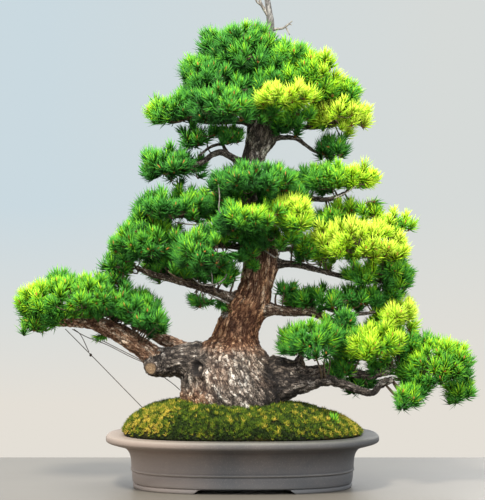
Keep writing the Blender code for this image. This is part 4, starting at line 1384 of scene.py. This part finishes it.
class BONSAI_OT_wood(bpy.types.Operator):
    """Trunk, limbs and branches in flaking bark, with the sawn end of the old log"""
    bl_idname = "bonsai.wood"
    bl_label = "Wood"

    def execute(self, context):
        settings = context.scene.bonsai_wood
        finish = bark_finish()
        self.add_trunk(settings, finish)
        for seed, (name, route) in enumerate(STEMS.items(), start=3):
            others = [TRUNK] + [other for key, other in STEMS.items() if key != name and (
                "base" in key + name or "limb" in key and "limb" in name)]
            zone = WOOD_ZONES.get(name, PLAIN_ZONE)
            limb = add_limb(name + "_bark", route, finish, settings, others, seed, zone)
            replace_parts(limb, name)
        for index, route in enumerate(SIDE_TWIGS):
            add_limb(f"side_twigs_{index}", route, finish, settings, [], 40 + index, PLAIN_ZONE)
        self.add_sawn_end()
        return {"FINISHED"}

    def add_trunk(self, settings, finish):
        """The trunk, scaly and grey at its foot, red-brown above and nearly black in the crown."""
        route = [TRUNK_FOOT] + TRUNK[1:]
        scale = (settings.plate_width, settings.plate_length)
        surface, plate, tone, centre, place = bark_surface(
            route, TRUNK_SIDES, TRUNK_ROW_GAP, np.array((1.0, 0.0, 0.0)), scale, settings.relief, 1,
            list(STEMS.values()), settings.blend, BARK_FLOW)
        z = surface[..., 2]
        level = centre[:, None, 2]
        thin = np.interp(level, *zip(*BARK_DEPTH))
        radius = np.interp(level, [p[2] for p in route], [p[3] for p in route])
        outward = unit(surface - centre[:, None])
        away = np.linalg.norm(surface - centre[:, None], axis=-1)
        surface = centre[:, None] + outward * (radius + (away - radius) * thin)[..., None]
        x_gap = surface[..., 0] - HEALED_KNOT[0]
        z_gap = surface[..., 2] - HEALED_KNOT[1]
        front = surface[..., 1] < 0.0
        ring = np.hypot(x_gap, z_gap * 0.85)
        lip = hump(ring - 0.016, 0.005) * 0.009 - hump(ring - 0.008, 0.004) * 0.006
        surface = surface + outward * np.where(front, lip, 0.0)[..., None]
        hollow = np.where(front, hump(ring - 0.009, 0.0045), 0.0)
        pale = np.where(front, hump(ring, 0.005), 0.0)
        plate = np.clip(plate * (1.0 - 0.85 * hollow) + pale, 0.0, 1.0)
        patch = rough_noise(surface / 0.05, 33, 2) - 0.5
        red = smooth_step(z, *RED_COMES) * (1.0 - smooth_step(z, *RED_GOES))
        foot = 1.0 - smooth_step(z, *GREY_FOOT_ENDS)
        zone = np.clip(0.42 + 0.10 * foot + 0.50 * red + 0.5 * patch * (foot + red), 0.0, 1.0)
        # The foot's left side: red-brown bark, also made lighter as painted light. Its right side gets
        # painted shade below.
        lit_left_rust = foot * smooth_step(-surface[..., 0], 0.03, 0.10) * (1.0 - smooth_step(z, 0.17, 0.24))
        zone = np.clip(zone + 0.60 * lit_left_rust, 0.0, 1.0)
        # A paler patch on the front of the foot.
        paler_front_patch = np.where(front, hump(surface[..., 0] - 0.002, 0.040) * hump(z - 0.250, 0.040), 0.0)
        shaded = foot * smooth_step(surface[..., 0], 0.030, 0.072)
        tone = tone * (0.80 + 0.18 * foot) + 0.24 * paler_front_patch - 0.72 * shaded + 0.6 * patch * foot
        tone = tone + 0.13 * smooth_step(z, 0.34, 0.42) - 0.9 * hollow + 0.5 * pale + 0.34 * lit_left_rust
        tone = np.clip(tone, -0.5, 1.1)
        zone = zone + (2.0 - zone) * smooth_step(z, *DEAD_TOP_STARTS)
        points, faces = closed_grid(surface, centre[0], centre[-1])
        trunk = add_piece("trunk_bark", points, faces, finish)
        mark_bark(trunk, plate, tone, zone, place)
        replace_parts(trunk, "trunk")

    def add_sawn_end(self):
        """Slightly domed disc with growth rings on the end of the log."""
        centre, ahead, radius = (np.array(v, float) for v in SAWN_END)
        ahead = unit(ahead)
        side = unit(np.cross(ahead, UP))
        up = np.cross(side, ahead)
        turn = full_turn(40)[None, :]
        share = np.array([0.0, 0.9, 1.0, 1.0, 0.96, 0.85, 0.65, 0.4, 0.18])[:, None]
        rise = np.array([-0.006, -0.006, -0.004, 0.0, 0.0016, 0.0022, 0.0022, 0.0018, 0.0016])[:, None]
        wobble = 1.0 + 0.05 * np.sin(3.0 * turn + 0.6)
        out = radius * share * wobble
        domed = (rise + 0.0 * turn)[..., None] * ahead
        surface = (centre + out[..., None] * spun(turn, side, up) + domed)[1:]
        points, faces = closed_grid(surface, centre - 0.006 * ahead, centre + 0.0016 * ahead)
        face = add_piece("log_sawn_end", points, faces, cut_wood_finish())
        ring = (share + 0.0 * turn)[1:].reshape(-1)
        edge = np.repeat([1.0, 1.0, 1.0, 1.0, 0.75, 0.0, 0.0, 0.0], turn.size)
        marks = np.column_stack([ring, edge, 0.0 * ring])
        add_marks(face, "rings", np.vstack([marks, marks[:1], (0.0, 0.0, 0.0)]))


# ---------------------------------------------------------------------------------------------
# Foliage
# ---------------------------------------------------------------------------------------------

def in_boxes(places, boxes):
    """True for each place that is inside any of the boxes."""
    found = np.full(places.shape[:-1], False)
    for box in boxes:
        found |= np.all((places > box[:3]) & (places < box[3:]), axis=-1)
    return found


def pad_places(low, high, spacing, seed):
    """Tuft places over the pad in a box, their outward directions and their place in it from -1 to 1.

    A golden-angle spiral runs over a ball, leaving out the middle of its underside. Each place is put on the
    pad's own dome: its reach is the cosine of its tilt to the power 0.75, with soft lobes.
    """
    half = (high - low) / 2.0 * (1.0, 1.0, 1.03)
    centre = (low + high) / 2.0
    centre[2] = low[2] + PAD_RISE_SHARE * (high[2] - low[2])
    area = math.pi * half[0] * half[1] * 1.15 + 2.2 * (half[0] + half[1]) * half[2]
    count = max(12, int(area / spacing ** 2))
    order = np.arange(count) + 0.5
    height = 1.0 - 1.62 * (order / count) ** 1.2
    random = np.random.default_rng(seed)
    turn = order * GOLDEN_ANGLE + random.normal(0.0, 0.12, count)
    height = np.clip(height + random.normal(0.0, 0.03, count), -0.75, 0.999)
    tilt = np.arcsin(height)
    lobes = 0.98 + 0.04 * np.sin(3.0 * turn + seed) + 0.03 * np.sin(2.0 * turn - seed)
    reach = np.cos(tilt) ** 0.75 * lobes
    scale = np.where(height > 0.0, 1.0, PAD_UNDERSIDE)
    local = np.stack([reach * np.cos(turn), reach * np.sin(turn), height * scale], axis=-1)
    lump = 1.0 - 0.34 * (rough_noise((centre + local * half) / 0.040, seed + 500, 2)[:, None] - 0.5)
    tip = centre + local * half * (lump - 0.03)
    kept = ~in_boxes(tip, OPEN_PLACES)
    return tip[kept], unit(local / half)[kept], local[kept], (centre, half)


def tuft_needles(tip, axis, tint, settings, seed, size=1.0, plain=False):
    """Needles of many tufts: each stands on a short shoot and leans out less the nearer it is to the tip.

    Needle k of a tuft starts its share of the way up the shoot, is turned by the golden angle from the one
    before, and leans from 84 degrees at the shoot's foot to 18 at its tip, bending back to the shoot. Needles
    that reach into a bare place are left out, and so is a tuft that would keep too few of them. Returns the
    blades, each tuft's foot, the length of its shoot and the share of its needles outside the bare places.
    """
    random = np.random.default_rng(seed)
    count, needles = len(tip), settings.needles
    length = settings.needle_length * size * random.uniform(0.78, 1.14, (count, 1))
    shoot = SHOOT_SHARE * length
    share = np.broadcast_to((np.arange(needles) + 0.5) / needles, (count, needles))
    turn = np.arange(needles) * GOLDEN_ANGLE + random.uniform(0.0, 2.0 * math.pi, (count, 1))
    lean = np.radians(LEAN_AT_FOOT - (LEAN_AT_FOOT - LEAN_AT_TIP) * share ** 0.80)
    lean = lean + random.normal(0.0, 0.14, (count, needles))
    side = unit(np.cross(axis, np.where(np.abs(axis[:, 2:]) < 0.9, UP, (1.0, 0.0, 0.0))))
    other = np.cross(axis, side)
    radial = spun(turn, side[:, None], other[:, None])
    ahead = spun(lean, axis[:, None], radial)
    long = length * random.uniform(0.78, 1.10, (count, needles)) * (0.80 + 0.25 * share)
    foot = tip - axis * (shoot + 0.82 * length)
    start = foot[:, None] + axis[:, None] * (shoot * share)[..., None]
    middle = start + ahead * (0.5 * long)[..., None]
    bent = unit(ahead + 0.22 * axis[:, None] + 0.10 * UP)
    end = middle + bent * (0.5 * long)[..., None]
    across = np.cross(axis[:, None], radial)
    shade = tint[:, None] + 0.16 * (share - 0.6) + random.normal(0.0, 0.11, (count, needles))
    kept = ~(in_boxes(middle, BARE_PLACES) | in_boxes(end, BARE_PLACES))
    full = kept.mean(axis=1)
    kept &= full[:, None] > TUFT_KEPT
    line = [places[kept] for places in ((start, end) if plain else (start, middle, end))]
    thickness = np.full(len(line[0]), settings.needle_width)
    shade = np.clip(shade[kept], 0.01, NEEDLE_TINT_TOP)
    return strands(line, across[kept], thickness, shade), foot, shoot, full


def shoot_buds(foot, axis, shoot, seed):
    """Rust-brown shoots in the middle of the tufts, as short thick blades."""
    random = np.random.default_rng(seed)
    count = len(foot)
    across = unit(np.cross(axis, random.normal(0.0, 1.0, (count, 3))))
    line = [foot - axis * 0.004, foot + axis * (shoot + 0.007), foot + axis * (shoot + 0.017)]
    tint = np.clip(random.normal(BUD_TINT, 0.008, count), *BUD_TINT_RANGE)
    return strands(line, across, random.uniform(*BUD_WIDTHS, count), tint)


def quadratic(t, start, bend, end):
    """Places on the quadratic curves of three places, at a share from 0 to 1."""
    return (1 - t) ** 2 * start + 2 * t * (1 - t) * bend + t ** 2 * end


def twig_tubes(start, bend, end, thick, thin):
    """Curved twigs: each centre line is the quadratic curve of its three places, with four sides round it."""
    rows, sides = 6, 4
    t = np.linspace(0.0, 1.0, rows)[None, :, None]
    line = quadratic(t, start[:, None], bend[:, None], end[:, None])
    ahead = unit(np.gradient(line, axis=1))
    reference = np.where(np.abs(ahead[..., 2:]) < 0.8, UP, (1.0, 0.0, 0.0))
    side = unit(np.cross(ahead, reference))
    other = np.cross(ahead, side)
    radius = (thick[:, None] + (thin - thick)[:, None] * t[..., 0])[..., None, None]
    surface = line[:, :, None] + radius * spun(full_turn(sides), side[:, :, None], other[:, :, None])
    count = len(start)
    points = np.concatenate([surface.reshape(count, -1, 3), line[:, :1], line[:, -1:]], axis=1)
    return points.reshape(-1, 3), copied(grid_faces(rows, sides), count, rows * sides + 2)


def nearest_wood(places):
    """The nearest place on any stem's or the trunk's centre line, for each place."""
    lines = np.vstack([smooth_route(route, 0.01)[:, :3] for route in [TRUNK[9:], *STEMS.values()]])
    gaps = np.linalg.norm(places[:, None] - lines[None], axis=-1)
    return lines[np.argmin(gaps, axis=1)]


class BONSAI_OT_foliage(bpy.types.Operator):
    """Pads of needles on fine twigs, with dead twigs among them"""
    bl_idname = "bonsai.foliage"
    bl_label = "Foliage"

    def execute(self, context):
        settings = context.scene.bonsai_foliage
        finish = strand_finish("needles", NEEDLE_STOPS, 0.55, 0.62)
        twigs = []
        for seed, (name, tints) in enumerate(PADS.items(), start=100):
            low, high = (np.array(corner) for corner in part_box("foliage_" + name))
            blades, fine = self.spray(low, high, tints, settings, seed, settings.spacing, 6)
            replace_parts(add_blades("needles_" + name, blades, finish), "foliage_" + name)
            twigs.append(fine)
        for group, (name, sprays) in enumerate(INNER_SPRAYS.items()):
            blades = []
            for seed, (*box, tint) in enumerate(sprays, start=200 + 20 * group):
                centre, half = np.reshape(box, (2, 3)) / 1000.0
                tints = (tint, 0.0, 0.10)
                made, fine = self.spray(
                    centre - half, centre + half, tints, settings, seed, 1.12 * settings.spacing, 3)
                blades += made
                twigs.append(fine)
            add_blades(name, blades, finish)
        points, faces = joined(twigs)
        add_piece("fine_twigs", points, faces, twig_finish())
        self.add_dead_twigs()
        self.add_loose_tufts(settings, finish)
        return {"FINISHED"}

    def spray(self, low, high, tints, settings, seed, spacing, boughs):
        """Needles, shoots and twigs of one pad in its box, with so many boughs."""
        base, light_to_right, light_upwards = tints
        tip, outward, local, (centre, half) = pad_places(low, high, spacing, seed)
        random = np.random.default_rng(seed + 900)
        axis = unit(0.72 * outward + 0.56 * UP + random.normal(0.0, 0.22, tip.shape))
        tip = tip + axis * random.normal(0.0, 0.006, (len(tip), 1))
        patch = rough_noise(tip / 0.045, seed + 300, 2) - 0.5
        # Yellowness is partly the needles' own colour and partly painted sunlight, lighter towards the top
        # and to one side.
        tint = base + light_to_right * local[:, 0] + light_upwards * local[:, 2] + 0.36 * patch
        # Painted shade: the underside of the pad is darker.
        tint = tint + random.normal(0.0, 0.06, len(tip)) - 0.16 * smooth_step(-local[:, 2], 0.15, 0.6)
        blades, foot, shoot, full = tuft_needles(tip, axis, tint, settings, seed)
        shown = (full > BUD_FULL) & (random.uniform(0.0, 1.0, len(tip)) < BUD_SHARE)
        buds = shoot_buds(foot[shown], axis[shown], shoot[shown], seed + 60)
        deep = random.uniform(0.0, 1.0, len(tip)) < INNER_SHARE
        # The deeper tufts are darker, as painted shade.
        depth = 0.014 + 0.30 * (tip[deep] - centre)
        inner, _, _, _ = tuft_needles(
            tip[deep] - depth, axis[deep], tint[deep] - 0.10, settings, seed + 30, plain=True)
        kept = full > TUFT_KEPT
        return [blades, buds, inner], self.pad_twigs(foot[kept], axis[kept], centre, half, seed, boughs)

    def pad_twigs(self, foot, axis, centre, half, seed, count):
        """Twigs of one pad: boughs from the nearest wood, and a twig from a bough to each tuft."""
        random = np.random.default_rng(seed + 50)
        low = centre - (0.0, 0.0, 0.35 * half[2])
        turns = full_turn(count) + random.uniform(0.0, 0.8, count)
        rim = low + np.stack([0.62 * half[0] * np.cos(turns), 0.62 * half[1] * np.sin(turns),
                              0.10 * half[2] * np.sin(3.0 * turns)], axis=-1)
        hubs = nearest_wood(low + np.array([(-0.45, 0.0, -0.3), (0.0, 0.0, -0.3), (0.45, 0.0, -0.3)]) * half)
        far = np.linalg.norm(hubs - low, axis=1) > 0.8 * half[0] + 0.045
        hubs[far] = low
        bough_start = hubs[np.argmin(np.linalg.norm(rim[:, None] - hubs[None], axis=-1), axis=1)]
        bough_bend = 0.50 * bough_start + 0.10 * low + 0.40 * rim - (0.0, 0.0, 0.15 * half[2])
        bough_bend = bough_bend + random.normal(0.0, 0.014, rim.shape)
        thick = random.uniform(*BOUGH_RADII, len(rim))
        boughs = twig_tubes(bough_start, bough_bend, rim, thick, 0.55 * thick)
        t = np.linspace(0.45, 1.0, 7)[:, None, None]
        knots = quadratic(t, bough_start, bough_bend, rim).reshape(-1, 3)
        gaps = np.linalg.norm(foot[:, None] - knots[None], axis=-1)
        start = knots[np.argmin(gaps, axis=1)]
        bend = foot - axis * (0.45 * np.min(gaps, axis=1))[:, None] + random.normal(0.0, 0.003, foot.shape)
        thick, thin = (np.full(len(foot), radius) for radius in FINE_TWIG_RADII)
        return joined([boughs, twig_tubes(start, bend, foot + axis * 0.002, thick, thin)])

    def add_dead_twigs(self):
        """Bare silver twigs, as tapered tubes along their own routes."""
        parts = []
        for route in DEAD_TWIGS:
            line = smooth_route(route, 0.003)
            _, side, up = frames_along(line[:, :3], np.array((0.0, 1.0, 0.0)))
            ring = spun(full_turn(7), side[:, None], up[:, None])
            knobs = 1.0 + 0.35 * (rough_noise(line[:, :3] / 0.006, 17, 2) - 0.5)
            slim = np.where(line[:, 2] > 1.0, 1.0, 0.65)
            surface = line[:, None, :3] + ring * (line[:, 3] * knobs * slim)[:, None, None]
            points, faces = closed_grid(surface, line[0, :3], line[-1, :3])
            parts.append((points, outwards(points, faces)))
        points, faces = joined(parts)
        add_piece("dead_twigs", points, faces, dead_wood_finish())

    def add_loose_tufts(self, settings, finish):
        """Single small tufts on the limbs and the trunk, and a seedling in the moss."""
        rows = np.array(LOOSE_TUFTS)
        axis = unit(rows[:, 3:6])
        blades, foot, _, _ = tuft_needles(
            rows[:, :3] / 1000.0, axis, rows[:, 6], settings, 78, size=LOOSE_TUFT_SIZE)
        add_blades("needles_loose", [blades], finish)
        start = nearest_wood(foot)
        start[-1] = foot[-1] - (0.0, 0.0, 0.02)
        bend = foot - axis * 0.008
        thick, thin = (np.full(len(rows), radius) for radius in LOOSE_TWIG_RADII)
        points, faces = twig_tubes(start, bend, foot + axis * 0.006, thick, thin)
        add_piece("loose_twigs", points, faces, bpy.data.materials["twig_bark"])


# ---------------------------------------------------------------------------------------------
# Sidebar, registration and the making
# ---------------------------------------------------------------------------------------------

MAKING_ORDER = (
    BONSAI_OT_stage, BONSAI_OT_wires, BONSAI_OT_pot, BONSAI_OT_moss, BONSAI_OT_wood, BONSAI_OT_foliage,
)
SETTINGS = {
    "bonsai_stage": BonsaiStageSettings, "bonsai_pot": BonsaiPotSettings, "bonsai_moss": BonsaiMossSettings,
    "bonsai_wood": BonsaiWoodSettings, "bonsai_foliage": BonsaiFoliageSettings,
}


class BONSAI_PT_sidebar(bpy.types.Panel):
    """Lists the settings and the making steps"""
    bl_idname = "BONSAI_PT_sidebar"
    bl_label = "Bonsai"
    bl_space_type = "VIEW_3D"
    bl_region_type = "UI"
    bl_category = "Bonsai"

    def draw(self, context):
        for name, group in SETTINGS.items():
            box = self.layout.box()
            for key in group.__annotations__:
                box.prop(getattr(context.scene, name), key)
        for operator in MAKING_ORDER:
            self.layout.operator(operator.bl_idname)


def register():
    """Register every class and hang the settings on the scene."""
    for group in (*SETTINGS.values(), *MAKING_ORDER, BONSAI_PT_sidebar):
        bpy.utils.register_class(group)
    for name, group in SETTINGS.items():
        setattr(bpy.types.Scene, name, bpy.props.PointerProperty(type=group))


def unregister():
    """Take the settings and every class away again."""
    for name in SETTINGS:
        delattr(bpy.types.Scene, name)
    for group in reversed((*SETTINGS.values(), *MAKING_ORDER, BONSAI_PT_sidebar)):
        bpy.utils.unregister_class(group)


def main():
    """Make every piece in order."""
    register()
    bpy.ops.bonsai.stage()
    bpy.ops.bonsai.wires()
    bpy.ops.bonsai.pot()
    bpy.ops.bonsai.moss()
    bpy.ops.bonsai.wood()
    bpy.ops.bonsai.foliage()


if __name__ == "__main__":
    main()
